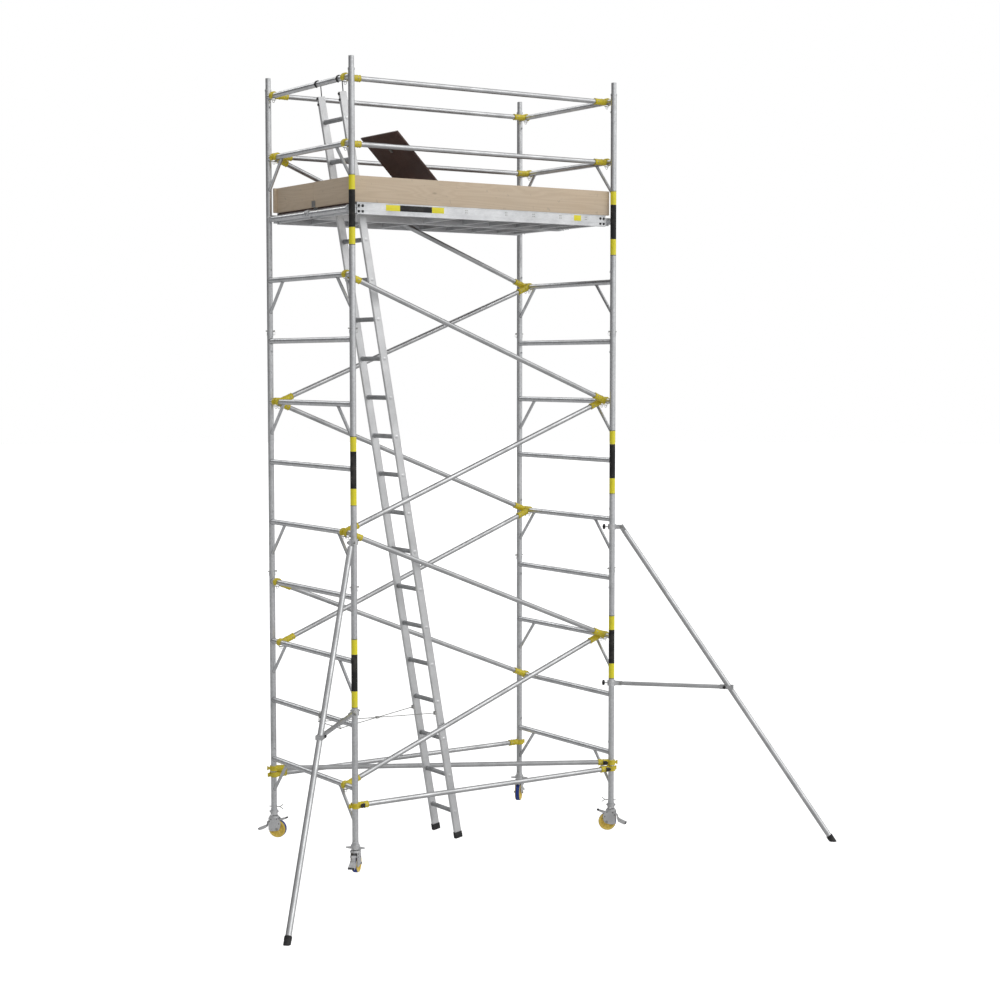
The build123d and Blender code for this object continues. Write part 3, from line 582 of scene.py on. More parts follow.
class Shape:
    """A mesh put together in the row frame from finished solids."""

    def __init__(self) -> None:
        """Start empty."""
        self.bm = bmesh.new()

    def join(self, part: bmesh.types.BMesh, place: Matrix) -> None:
        """Move a finished solid to its place and add it."""
        part.transform(place)
        mesh = bpy.data.meshes.new("part")
        bmesh.ops.recalc_face_normals(part, faces=part.faces)
        part.to_mesh(mesh)
        part.free()
        self.bm.from_mesh(mesh)
        bpy.data.meshes.remove(mesh)

    def box(self, low: Point, high: Point, edge: float = 0.001, place: Matrix | None = None) -> None:
        """Add a block with rounded edges.

        Args:
            low: lowest corner.
            high: highest corner.
            edge: radius of the edges.
            place: where the block goes, if not in the row frame.
        """
        part = bmesh.new()
        bmesh.ops.create_cube(part, size=1.0)
        size = [b - a for a, b in zip(low, high)]
        centre = [(a + b) / 2 for a, b in zip(low, high)]
        part.transform(Matrix.Translation(centre) @ Matrix.Diagonal((*size, 1.0)))
        if edge:
            bmesh.ops.bevel(
                part, geom=part.edges[:], offset=edge, segments=2, affect="EDGES", profile=0.6
            )
        self.join(part, place or Matrix())

    def turned(
        self, profile: Sequence[tuple[float, float]], place: Matrix, sides: int = 32, closed: bool = False
    ) -> None:
        """Add a solid of revolution about its own Z axis.

        Args:
            profile: radius and height pairs, from pole to pole or round a closed section.
            place: where its axis goes.
            sides: faces around it.
            closed: whether the profile is a closed section, as on a tyre.
        """
        part = bmesh.new()
        skin(part, [ring(part, radius, height, sides) for radius, height in profile], closed)
        self.join(part, place)

    def prism(self, outline: Sequence[tuple[float, float]], half: float, place: Matrix, edge: float) -> None:
        """Add a plate with rounded edges.

        Args:
            outline: X and Z of its corners.
            half: half its thickness, along Y.
            place: where the plate goes.
            edge: radius of the edges.
        """
        part = bmesh.new()
        near = [part.verts.new((x, -half, z)) for x, z in outline]
        far = [part.verts.new((x, half, z)) for x, z in outline]
        part.faces.new(near)
        part.faces.new(list(reversed(far)))
        for k in range(len(outline)):
            after = (k + 1) % len(outline)
            part.faces.new((near[after], near[k], far[k], far[after]))
        if edge:
            bmesh.ops.bevel(part, geom=part.edges[:], offset=edge, segments=2, affect="EDGES")
        self.join(part, place)

    def finish(self, name: str, material: bpy.types.Material) -> bpy.types.Object:
        """Turn the shape into an object at the origin."""
        mesh = bpy.data.meshes.new(name)
        self.bm.to_mesh(mesh)
        self.bm.free()
        mesh.materials.append(material)
        obj = bpy.data.objects.new(name, mesh)
        bpy.context.scene.collection.objects.link(obj)
        soften(obj, 35.0)
        return obj


def soften(obj: bpy.types.Object, degrees: float) -> None:
    """Shade an object smooth, keeping edges sharper than an angle."""
    mesh = obj.data
    mesh.polygons.foreach_set("use_smooth", [True] * len(mesh.polygons))
    mesh.set_sharp_from_angle(angle=math.radians(degrees))


def mount(obj: bpy.types.Object, body: str, replaced: Sequence[str] = ()) -> None:
    """Let a finished piece ride on its body and hide the frame nodes it stands for.

    Args:
        obj: the piece.
        body: the body it moves with.
        replaced: nodes of the frame that it stands for.
    """
    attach(obj, body)
    if replaced:
        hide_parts(*replaced)
    LOG.info("%s: %d faces on %s", obj.name, len(obj.data.polygons), body)


# ------------------------------------------------------------------ repeats by geometry nodes
class Repeat(NodeTree):
    """A Geometry Nodes tree with named inputs that ends in Realize Instances and Set Material."""

    def __init__(self, name: str, sizes: dict[str, float]) -> None:
        """Start a tree.

        Args:
            name: tree name.
            sizes: its named size inputs and their values.
        """
        group = bpy.data.node_groups.new(name, "GeometryNodeTree")
        super().__init__(group)
        self.sizes = sizes
        group.interface.new_socket("Geometry", in_out="INPUT", socket_type="NodeSocketGeometry")
        for size in sizes:
            group.interface.new_socket(size, in_out="INPUT", socket_type="NodeSocketFloat")
        group.interface.new_socket("Material", in_out="INPUT", socket_type="NodeSocketMaterial")
        group.interface.new_socket("Geometry", in_out="OUTPUT", socket_type="NodeSocketGeometry")
        self.entry = group.nodes.new("NodeGroupInput")

    def given(self, name: str) -> Socket:
        """One of the tree's inputs."""
        return Socket(self, self.entry.outputs[name])

    def end(self, geometry: Socket) -> "Repeat":
        """Close the tree on a geometry."""
        solid = self.add("GeometryNodeRealizeInstances", {}, {"Geometry": geometry})
        inputs = {"Geometry": solid, "Material": self.given("Material")}
        dressed = self.add("GeometryNodeSetMaterial", {}, inputs)
        self.add("NodeGroupOutput", {}, {"Geometry": dressed})
        return self

    def apply(
        self, name: str, base: bpy.types.Mesh, material: bpy.types.Material, smooth: float = 40.0
    ) -> bpy.types.Object:
        """Run the tree on a base mesh and keep the plain result.

        Args:
            name: name of the finished object.
            base: points or lines that the tree works on.
            material: material of the result.
            smooth: angle up to which it is shaded smooth.

        Returns:
            The finished object, without the modifier.
        """
        holder = bpy.data.objects.new(name + "_base", base)
        bpy.context.scene.collection.objects.link(holder)
        modifier = holder.modifiers.new("repeat", "NODES")
        modifier.node_group = self.tree
        for item in self.tree.interface.items_tree:
            if item.in_out == "INPUT" and item.name in self.sizes:
                modifier[item.identifier] = self.sizes[item.name]
            elif item.in_out == "INPUT" and item.name == "Material":
                modifier[item.identifier] = material
        graph = bpy.context.evaluated_depsgraph_get()
        mesh = bpy.data.meshes.new_from_object(holder.evaluated_get(graph))
        holder.modifiers.clear()
        bpy.data.objects.remove(holder)
        mesh.name = name
        obj = bpy.data.objects.new(name, mesh)
        bpy.context.scene.collection.objects.link(obj)
        soften(obj, smooth)
        return obj


def points_mesh(places: Sequence[tuple[Vector, Vector]]) -> bpy.types.Mesh:
    """Loose points, each with the direction that its instance faces.

    Args:
        places: position and facing direction of each instance.

    Returns:
        A mesh with an "aim" vector on every point.
    """
    mesh = bpy.data.meshes.new("points")
    mesh.from_pydata([tuple(place) for place, _ in places], [], [])
    aims = mesh.attributes.new("aim", "FLOAT_VECTOR", "POINT")
    for index, (_, aim) in enumerate(places):
        aims.data[index].vector = aim
    return mesh


def loops_mesh(loops: Sequence[Sequence[Vector]], closed: bool = True) -> bpy.types.Mesh:
    """Lines through lists of points, closed or open."""
    verts, edges = [], []
    for loop in loops:
        first = len(verts)
        verts.extend(tuple(point) for point in loop)
        edges.extend((first + k, first + k + 1) for k in range(len(loop) - 1))
        if closed:
            edges.append((first + len(loop) - 1, first))
    mesh = bpy.data.meshes.new("loops")
    mesh.from_pydata(verts, edges, [])
    return mesh


def rivet_tree(name: str, radius: float, height: float) -> Repeat:
    """A domed rivet or screw head on each point, facing along its aim."""
    tree = Repeat(name, {"Radius": radius, "Height": height})
    inputs = {"Segments": 12, "Rings": 7, "Radius": tree.given("Radius")}
    dome = tree.add("GeometryNodeMeshUVSphere", {}, inputs)
    squash = tree.given("Height") / tree.given("Radius")
    scale = tree.add("ShaderNodeCombineXYZ", {}, {0: 1.0, 1: 1.0, 2: squash})
    flat = tree.add("GeometryNodeTransform", {}, {"Geometry": dome, "Scale": scale})
    return tree.end(scatter(tree, flat))


def hex_tree(name: str, radius: float, height: float) -> Repeat:
    """A hexagon nut with a washer on each point, facing along its aim."""
    tree = Repeat(name, {"Radius": radius, "Height": height})
    nut = tree.add(
        "GeometryNodeMeshCylinder", {},
        {"Vertices": 6, "Radius": tree.given("Radius"), "Depth": tree.given("Height")},
    )
    washer = tree.add(
        "GeometryNodeMeshCylinder", {},
        {"Vertices": 20, "Radius": tree.given("Radius") * 1.35, "Depth": tree.given("Height") * 0.25},
    )
    lift = tree.add("ShaderNodeCombineXYZ", {}, {2: tree.given("Height") * 0.6})
    raised = tree.add("GeometryNodeTransform", {}, {"Geometry": nut, "Translation": lift})
    both = tree.add("GeometryNodeJoinGeometry", {}, {})
    tree.tree.links.new(washer.socket, both.socket.node.inputs[0])
    tree.tree.links.new(raised.socket, both.socket.node.inputs[0])
    return tree.end(scatter(tree, both))


def scatter(tree: Repeat, shape: Socket) -> Socket:
    """Put a shape on each point of the base, its Z along the point's aim."""
    aim = tree.add("GeometryNodeInputNamedAttribute", {"data_type": "FLOAT_VECTOR"}, {"Name": "aim"})
    turn = tree.add("FunctionNodeAlignRotationToVector", {"axis": "Z"}, {"Vector": aim})
    inputs = {"Points": tree.given("Geometry"), "Instance": shape, "Rotation": turn}
    return tree.add("GeometryNodeInstanceOnPoints", {}, inputs)


def bar_tree(name: str, length: float, width: float, depth: float) -> Repeat:
    """A small bar on each point: length along the axis its aim gives, for ribs and treads."""
    tree = Repeat(name, {"Length": length, "Width": width, "Depth": depth})
    size = tree.add(
        "ShaderNodeCombineXYZ", {}, {0: tree.given("Width"), 1: tree.given("Depth"), 2: tree.given("Length")}
    )
    bar = tree.add("GeometryNodeMeshCube", {}, {"Size": size})
    return tree.end(scatter(tree, bar))


def bead_tree(name: str, radius: float, ripple: float = 0.0, sides: int = 8) -> Repeat:
    """A round bead swept along the base's lines, with a ripple in its thickness."""
    tree = Repeat(name, {"Radius": radius, "Ripple": ripple})
    curve = tree.add("GeometryNodeMeshToCurve", {}, {"Mesh": tree.given("Geometry")})
    rough = tree.add("ShaderNodeTexNoise", {}, {"Scale": 260.0, "Detail": 1.0})
    swell = (rough - 0.5) * tree.given("Ripple") + 1.0
    shaped = tree.add("GeometryNodeSetCurveRadius", {}, {"Curve": curve, "Radius": swell})
    outline = tree.add(
        "GeometryNodeCurvePrimitiveCircle", {}, {"Resolution": sides, "Radius": tree.given("Radius")}
    )
    swept = tree.add(
        "GeometryNodeCurveToMesh", {},
        {"Curve": shaped, "Profile Curve": outline, "Fill Caps": True, "Scale": swell},
    )
    return tree.end(swept)


# ------------------------------------------------------------------ end frames
@dataclass
class EndFrames:
    """The six welded end frames with their welds, post labels and lock pins."""

    knee_reach: float = 0.250
    knee_drop: float = 0.280
    knee_radius: float = 0.0127
    weld_radius: float = 0.0030
    ring_radius: float = 0.017
    ring_wire: float = 0.0011
    label_wrap: float = 240.0
    label_skin: float = 0.00045
    label_bands: tuple[tuple[float, float, float, float], ...] = (
        (5.424, 5.313, 5.028, 4.897),
        (3.421, 3.308, 3.021, 2.892),
        (1.847, 1.729, 1.442, 1.315),
    )

    def rung_saddle(self, side: int, depth: int, number: int) -> list[Vector]:
        """Line around a rung where it meets its post."""
        post = PLAN.post_at(side, depth)
        loop = []
        for k in range(24):
            turn = math.tau * k / 24
            dx = (PLAN.rung_radius + 0.0005) * math.cos(turn)
            dz = (PLAN.rung_radius + 0.0005) * math.sin(turn)
            reach = math.sqrt((PLAN.post_radius + 0.0005) ** 2 - dx * dx)
            loop.append(Vector((post.x + dx, post.y + depth * reach, PLAN.rung_z(number) + dz)))
        return loop

    def knee_saddles(self, side: int, depth: int, number: int) -> list[list[Vector]]:
        """Lines around a knee brace where it meets its post and its rung."""
        post = PLAN.post_at(side, depth)
        top = PLAN.rung_z(number)
        run = Vector((0.0, depth * self.knee_reach, self.knee_drop)).normalized()
        cross = X_AXIS.cross(run)
        loops: list[list[Vector]] = [[], []]
        foot = Vector((post.x, post.y, top - self.knee_drop))
        for k in range(20):
            turn = math.tau * k / 20
            across = self.knee_radius * math.cos(turn)
            offset = Vector((across, 0.0, 0.0)) + cross * (self.knee_radius * math.sin(turn))
            post_reach = depth * math.sqrt(PLAN.post_radius**2 - across**2)
            loops[0].append(foot + offset + run * ((post_reach - offset.y) / run.y))
            rung_reach = self.knee_drop - math.sqrt(PLAN.rung_radius**2 - across**2)
            loops[1].append(foot + offset + run * ((rung_reach - offset.z) / run.z))
        return loops

    def welds(self, finishes: Finishes) -> None:
        """Lay the weld beads of all rungs and knees."""
        loops = []
        for side in (1, -1):
            for depth in (1, -1):
                for number in range(1, PLAN.rungs + 1):
                    loops.append(self.rung_saddle(side, depth, number))
                    if number % 2:
                        loops.extend(self.knee_saddles(side, depth, number))
        tree = bead_tree("weld_bead", self.weld_radius, 0.8)
        beads = tree.apply("frame_welds", loops_mesh(loops), finishes.weld, 60.0)
        mount(beads, "tower")

    def band(self, shape: Shape, side: int, low: float, high: float) -> None:
        """Add one label band wrapped round the outside of a front post."""
        post = PLAN.post_at(side, 1)
        start = math.radians(270.0 - self.label_wrap / 2)
        steps = 28
        part = bmesh.new()
        rows = []
        for radius in (PLAN.post_radius + 0.0001, PLAN.post_radius + 0.0001 + self.label_skin):
            for height in (low, high):
                rows.append([
                    part.verts.new((
                        post.x + radius * math.cos(start + math.radians(self.label_wrap) * k / steps),
                        post.y + radius * math.sin(start + math.radians(self.label_wrap) * k / steps),
                        height,
                    ))
                    for k in range(steps + 1)
                ])
        inner_low, inner_high, outer_low, outer_high = rows
        walls = (
            (outer_low, outer_high), (outer_high, inner_high), (inner_high, inner_low), (inner_low, outer_low)
        )
        for one, two in walls:
            for k in range(steps):
                part.faces.new((one[k], one[k + 1], two[k + 1], two[k]))
        for k in (0, steps):
            part.faces.new((inner_low[k], outer_low[k], outer_high[k], inner_high[k]))
        shape.join(part, Matrix())

    def labels(self, finishes: Finishes) -> None:
        """Wrap the plain yellow and black bands round the front posts."""
        yellow, black = Shape(), Shape()
        for side in (1, -1):
            for top, upper, lower, bottom in self.label_bands:
                self.band(yellow, side, upper + 0.0006, top)
                self.band(yellow, side, bottom, lower - 0.0006)
                self.band(black, side, lower, upper)
                for edge in (top + 0.0012, bottom - 0.0052):
                    self.band(black, side, edge, edge + 0.004)
        mount(yellow.finish("post_labels_yellow", finishes.label_yellow), "tower")
        mount(black.finish("post_labels_black", finishes.label_black), "tower")

    def clips(self, finishes: Finishes) -> None:
        """Hang the wire rings of the lock pins at the frame joints."""
        loops = []
        for side in (1, -1):
            for depth in (1, -1):
                post = PLAN.post_at(side, depth)
                for level in (1, 2):
                    height = PLAN.post_bottom + PLAN.frame_height * level + 0.024
                    centre = Vector((post.x + side * 0.0375, post.y, height - 0.016))
                    loops.append(circle(centre, Y_AXIS, Z_AXIS, self.ring_radius, 24))
        tree = bead_tree("pin_ring", self.ring_wire, 0.0, 6)
        mount(tree.apply("lock_pin_rings", loops_mesh(loops), finishes.zinc_pin), "tower")

    def build(self, finishes: Finishes) -> None:
        """Dress the frames and add their details."""
        for side in ("left", "right"):
            for level in ("lower", "middle", "upper"):
                dress(f"end_frame_{side}_{level}", finishes.galvanised)
        dress("frame_lock_pins", finishes.zinc_pin)
        self.welds(finishes)
        self.labels(finishes)
        self.clips(finishes)


# ------------------------------------------------------------------ braces
@dataclass
class Braces:
    """Diagonal braces, guardrails and base braces with their cast hooks and clamps."""

    first_inset: float = 0.095
    second_inset: float = 0.150
    socket_reach: float = 0.130
    clamp_reach: float = 0.112
    base_z: float = 0.536
    plan_z: float = 0.588
    ring_radius: float = 0.0255
    jaw_radius: float = 0.0325
    clamp_radius: float = 0.0358
    front_lines: tuple[tuple[int, int, bool], ...] = (
        (9, 7, False), (5, 7, True), (5, 3, False), (1, 3, True), (11, 11, False), (12, 12, False)
    )
    rear_lines: tuple[tuple[int, int, bool], ...] = (
        (11, 9, False), (7, 9, True), (7, 5, False), (3, 5, True), (4, 2, False), (11, 11, True),
        (12, 12, False),
    )

    def ends(self) -> list[tuple[Vector, Vector]]:
        """Centre and inward direction of each hook on a rung."""
        found = []
        for lines, base, sign in ((self.front_lines, PLAN.front_y, 1), (self.rear_lines, PLAN.rear_y, -1)):
            for left, right, second in lines:
                y = base + sign * (self.second_inset if second else self.first_inset)
                start = Vector((PLAN.left_x, y, PLAN.rung_z(left)))
                end = Vector((PLAN.right_x, y, PLAN.rung_z(right)))
                run = (end - start).normalized()
                found.extend(((start, run), (end, -run)))
        return found

    def base_ends(self) -> list[tuple[Vector, Vector]]:
        """Centre and inward direction of each clamp on a post."""
        left, right, front, rear = PLAN.left_x, PLAN.right_x, PLAN.front_y, PLAN.rear_y
        lines = (
            (Vector((left, front, self.base_z)), Vector((right, front, self.base_z))),
            (Vector((left, rear, self.base_z)), Vector((right, rear, self.base_z))),
            (Vector((left, rear, self.plan_z)), Vector((right, front, self.plan_z))),
        )
        return [pair for a, b in lines for pair in ((a, (b - a).normalized()), (b, (a - b).normalized()))]

    def arc(self, centre: Vector, radius: float, start: float, stop: float, steps: int = 20) -> list[Vector]:
        """Points on an arc in the X-Z plane, angles in degrees from +X."""
        return [
            centre + Vector((
                radius * math.cos(math.radians(start + (stop - start) * k / steps)), 0.0,
                radius * math.sin(math.radians(start + (stop - start) * k / steps)),
            ))
            for k in range(steps + 1)
        ]

    def hook_ribs(self, finishes: Finishes) -> None:
        """Raise the cast ribs along both edges and the back of each hook's jaw."""
        lines = []
        for centre, run in self.ends():
            for side in (-0.0155, 0.0, 0.0155):
                lines.append(self.arc(centre + Vector((0.0, side, 0.0)), self.jaw_radius, -38.0, 218.0))
        tree = bead_tree("hook_rib", 0.0024, 0.0, 8)
        ribs = tree.apply("hook_ribs", loops_mesh(lines, False), finishes.hook_yellow)
        mount(ribs, "tower")

    def socket_rings(self, finishes: Finishes) -> None:
        """Thicken the mouth and neck of every hook's and clamp's socket."""
        loops = []
        stations = [(pair, (0.056, self.socket_reach - 0.003)) for pair in self.ends()]
        stations += [(pair, (0.062, self.clamp_reach - 0.003)) for pair in self.base_ends()]
        for (centre, run), reaches in stations:
            side = run.cross(Z_AXIS).normalized()
            up = side.cross(run)
            for reach in reaches:
                loops.append(circle(centre + run * reach, side, up, self.ring_radius, 28))
        tree = bead_tree("socket_ring", 0.0026, 0.0, 8)
        mount(tree.apply("socket_rings", loops_mesh(loops), finishes.hook_yellow), "tower")

    def rivets(self, finishes: Finishes) -> None:
        """Drive the rivets that hold each tube in its socket."""
        places = []
        hooks = [(*end, 0.105) for end in self.ends()]
        clamps = [(*end, 0.090) for end in self.base_ends()]
        for centre, run, reach in hooks + clamps:
            side = run.cross(Z_AXIS).normalized()
            up = side.cross(run)
            for aim in (side, -side, up, -up):
                places.append((centre + run * reach + aim * 0.0253, aim))
        tree = rivet_tree("socket_rivet", 0.0052, 0.0028)
        mount(tree.apply("socket_rivets", points_mesh(places), finishes.zinc_pin), "tower")

    def clamp_ribs(self, finishes: Finishes) -> None:
        """Ring the base clamps with their cast ribs, open at the latch side."""
        lines = []
        for centre, run in self.base_ends():
            across = Z_AXIS.cross(run)
            for height in (-0.018, -0.006, 0.006, 0.018):
                line = []
                for k in range(25):
                    turn = math.radians(-146.0 + 292.0 * k / 24)
                    around = (run * math.cos(turn) + across * math.sin(turn)) * self.clamp_radius
                    line.append(centre + around + Vector((0.0, 0.0, height)))
                lines.append(line)
        tree = bead_tree("clamp_rib", 0.0027, 0.0, 8)
        ribs = tree.apply("clamp_ribs", loops_mesh(lines, False), finishes.hook_yellow)
        mount(ribs, "tower")

    def levers(self, finishes: Finishes) -> None:
        """Fit the black lever and its steel pin beside each base clamp's socket."""
        levers, pins = Shape(), Shape()
        for centre, run in self.base_ends():
            out = -Y_AXIS if centre.y < 0.5 else Y_AXIS
            side = (out - run * out.dot(run)).normalized()
            up = run.cross(side)
            place = Matrix((run, side, up)).transposed().to_4x4()
            place.translation = centre
            levers.box((0.038, 0.026, -0.016), (0.072, 0.036, 0.016), 0.003, place)
            levers.box((0.030, 0.034, -0.009), (0.060, 0.041, 0.009), 0.002, place)
            pins.turned(((0.0, -0.022), (0.0045, -0.022), (0.0045, 0.022), (0.0, 0.022)),
                        place @ Matrix.Translation((0.066, 0.031, 0.0)), 16)
        mount(levers.finish("clamp_levers", finishes.knob_black), "tower")
        mount(pins.finish("clamp_lever_pins", finishes.zinc_pin), "tower")

    def build(self, finishes: Finishes) -> None:
        """Dress the braces and add the castings' details."""
        self.levers(finishes)
        for node in ("front_diagonal_braces", "rear_diagonal_braces", "guardrails", "base_braces"):
            dress(node, finishes.brace)
        dress("brace_hooks", finishes.hook_yellow)
        dress("base_clamps", finishes.hook_yellow)
        dress("hook_latches", finishes.zinc_pin)
        dress("base_clamp_latches", finishes.hook_yellow)
        self.hook_ribs(finishes)
        self.socket_rings(finishes)
        self.rivets(finishes)
        self.clamp_ribs(finishes)


# ------------------------------------------------------------------ platform
@dataclass
class Platform:
    """The two platforms with their rails, deck boards, trapdoor and toe boards."""

    deck_top: float = 5.225
    rail_depth: float = 0.092
    end_x: float = 0.060
    cross_x: tuple[float, ...] = (0.060, 1.048, 1.430, 1.700, 1.970, 2.230, 2.418)
    lid_hinge_x: float = 1.045
    lid_near: float = 0.118
    lid_far: float = 0.690
    lid_rise: float = math.radians(45.0)
    board: float = 0.028
    board_height: float = 0.200
    board_gap: float = 0.0015
    board_edge: float = 0.0022
    label_yellow: tuple[tuple[float, float], ...] = ((0.319, 0.446), (0.739, 0.851), (2.122, 2.194))
    label_black: tuple[float, float] = (0.447, 0.738)

    def at(self, x: float, y: float, z: float) -> Point:
        """Row-frame point from a distance along the platform and in from the front posts."""
        return PLAN.left_x + x, PLAN.front_y + y, z

    def rail_lips(self, finishes: Finishes) -> None:
        """Run the extruded lips along the outer faces of the side rails."""
        shape = Shape()
        for outer, sign in ((0.030, -1), (1.358, 1)):
            for low, high, proud in ((0.000, 0.006, 0.0030), (0.030, 0.034, 0.0015), (0.084, 0.092, 0.0022)):
                y0, y1 = sorted((outer - sign * 0.0005, outer + sign * proud))
                bottom = self.deck_top - self.rail_depth
                shape.box(self.at(self.end_x, y0, bottom + low), self.at(2.448, y1, bottom + high), 0.0006)
        mount(shape.finish("platform_rail_lips", finishes.mill), "tower")

    def rivets(self, finishes: Finishes) -> None:
        """Rivet the cross members to the rails and screw the boards down."""
        places = []
        for x in self.cross_x:
            for y, sign in ((0.030, -1), (1.358, 1)):
                for height in (0.052, 0.070):
                    for step in (0.008, 0.022):
                        point = Vector(self.at(x + step, y, self.deck_top - self.rail_depth + height))
                        places.append((point, Vector((0.0, sign, 0.0))))
        tree = rivet_tree("rail_rivet", 0.0048, 0.0026)
        mount(tree.apply("platform_rivets", points_mesh(places), finishes.zinc_pin), "tower")
        screws = []
        for x in self.cross_x:
            for y in (0.075, 0.645, 0.741, 1.313):
                if 0.1 < x < 1.04 and y < 0.69:
                    continue
                screws.append((Vector(self.at(x + 0.015, y, self.deck_top - 0.0002)), Z_AXIS))
        tree = rivet_tree("deck_screw", 0.0055, 0.0014)
        mount(tree.apply("deck_screws", points_mesh(screws), finishes.zinc_pin), "tower")

    def hook_bolts(self, finishes: Finishes) -> None:
        """Bolt the rung hooks to the ends of the outer side rails."""
        places = []
        for y, sign in ((0.030, -1), (1.358, 1)):
            for x in (0.078, 0.112, 2.396, 2.430):
                for z in (5.155, 5.198):
                    places.append((Vector(self.at(x, y, z)), Vector((0.0, sign, 0.0))))
        tree = hex_tree("hook_bolt", 0.0085, 0.0060)
        bolts = tree.apply("platform_hook_bolts", points_mesh(places), finishes.dark_steel, 25.0)
        mount(bolts, "tower")

    def labels(self, finishes: Finishes) -> None:
        """Stick the plain yellow and black strips on the front rail."""
        yellow, black = Shape(), Shape()
        low, high = 5.169, 5.2145
        for x0, x1 in self.label_yellow:
            yellow.box(self.at(x0, 0.0293, low), self.at(x1, 0.0301, high), 0.0001)
        x0, x1 = self.label_black
        black.box(self.at(x0, 0.0293, low), self.at(x1, 0.0301, high), 0.0001)
        mount(yellow.finish("rail_labels_yellow", finishes.label_yellow), "tower")
        mount(black.finish("rail_label_black", finishes.label_black), "tower")

    def toe_boards(self, finishes: Finishes) -> None:
        """Stand the long and short timber toe boards on the platform."""
        low = self.deck_top + self.board_gap
        long_boards = Shape()
        high = low + self.board_height
        for y in (0.028, 1.388 - 0.028 - self.board):
            long_boards.box(self.at(0.022, y, low), self.at(2.486, y + self.board, high), self.board_edge)
        name = "side_toe_boards"
        mount(long_boards.finish("toe_boards_long", finishes.board_long), "tower", [name])
        short_boards = Shape()
        for x, inward in ((0.042, 1), (2.508 - 0.042 - self.board, -1)):
            for y0, y1, shift in ((0.0564, 0.6912, 0.0), (0.6968, 1.3316, 0.004)):
                start = x + inward * shift
                stop = start + self.board
                short_boards.box(self.at(start, y0, low), self.at(stop, y1, high), self.board_edge)
        plates, clips = Shape(), Shape()
        for outer, inward in ((0.042, 1), (2.508 - 0.042, -1)):
            inner = outer + inward * self.board
            x0, x1 = sorted((inner + inward * 0.0003, inner + inward * 0.0033))
            plates.box(self.at(x0, 0.650, low + 0.012), self.at(x1, 0.738, low + 0.186), 0.0006)
            x0, x1 = sorted((outer - inward * 0.0028, outer - inward * 0.0002))
            clips.box(self.at(x0, 0.664, low), self.at(x1, 0.724, low + 0.052), 0.0006)
        mount(plates.finish("toe_board_joint_plates", finishes.zinc_pin), "tower")
        mount(clips.finish("toe_board_joint_clips", finishes.zinc_pin), "tower")
        name = "end_toe_boards"
        mount(short_boards.finish("toe_boards_short", finishes.board_short), "tower", [name])

    def lid_place(self) -> Matrix:
        """Place of the lid's own axes: X from the hinge to the free edge, Z out of its top."""
        rise = self.lid_rise
        x_axis = Vector((-math.cos(rise), 0.0, math.sin(rise)))
        z_axis = Vector((math.sin(rise), 0.0, math.cos(rise)))
        y_axis = z_axis.cross(x_axis)
        place = Matrix((x_axis, y_axis, z_axis)).transposed().to_4x4()
        place.translation = Vector(self.at(self.lid_hinge_x, 0.0, self.deck_top + 0.006))
        return place

    def lid(self, finishes: Finishes) -> None:
        """Add the trapdoor's hinge leaves and screws."""
        place = self.lid_place()
        up = place.to_3x3() @ Z_AXIS
        top = 0.0065
        places = []
        for hinge in (self.lid_near + 0.060, self.lid_far - 0.060):
            for x in (0.022, 0.046):
                for y in (-hinge - 0.007, -hinge + 0.007):
                    places.append((place @ Vector((x, y, top)), up))
        for x in (0.608, 0.672):
            for y in (-0.424, -0.384):
                places.append((place @ Vector((x, y, 0.0096)), up))
        tree = rivet_tree("lid_screw", 0.0038, 0.0016)
        mount(tree.apply("trapdoor_screws", points_mesh(places), finishes.zinc_pin), "trapdoor")
        leaves = Shape()
        for hinge in (self.lid_near + 0.060, self.lid_far - 0.060):
            low, high = (0.010, -hinge - 0.0135, top - 0.0004), (0.058, -hinge + 0.0135, top + 0.0012)
            leaves.box(low, high, 0.0005, place)
        mount(leaves.finish("trapdoor_hinge_leaves", finishes.zinc_pin), "trapdoor")

    def build(self, finishes: Finishes) -> None:
        """Dress the platforms and add their details."""
        for node in ("platform_frame_front", "platform_frame_rear"):
            dress(node, finishes.mill)
        for node in ("platform_deck_front", "platform_deck_rear"):
            dress(node, finishes.deck)
        dress("trapdoor", finishes.lid)
        dress("trapdoor_latch", finishes.zinc_pin)
        self.rail_lips(finishes)
        self.rivets(finishes)
        self.hook_bolts(finishes)
        self.labels(finishes)
        self.toe_boards(finishes)
        self.lid(finishes)


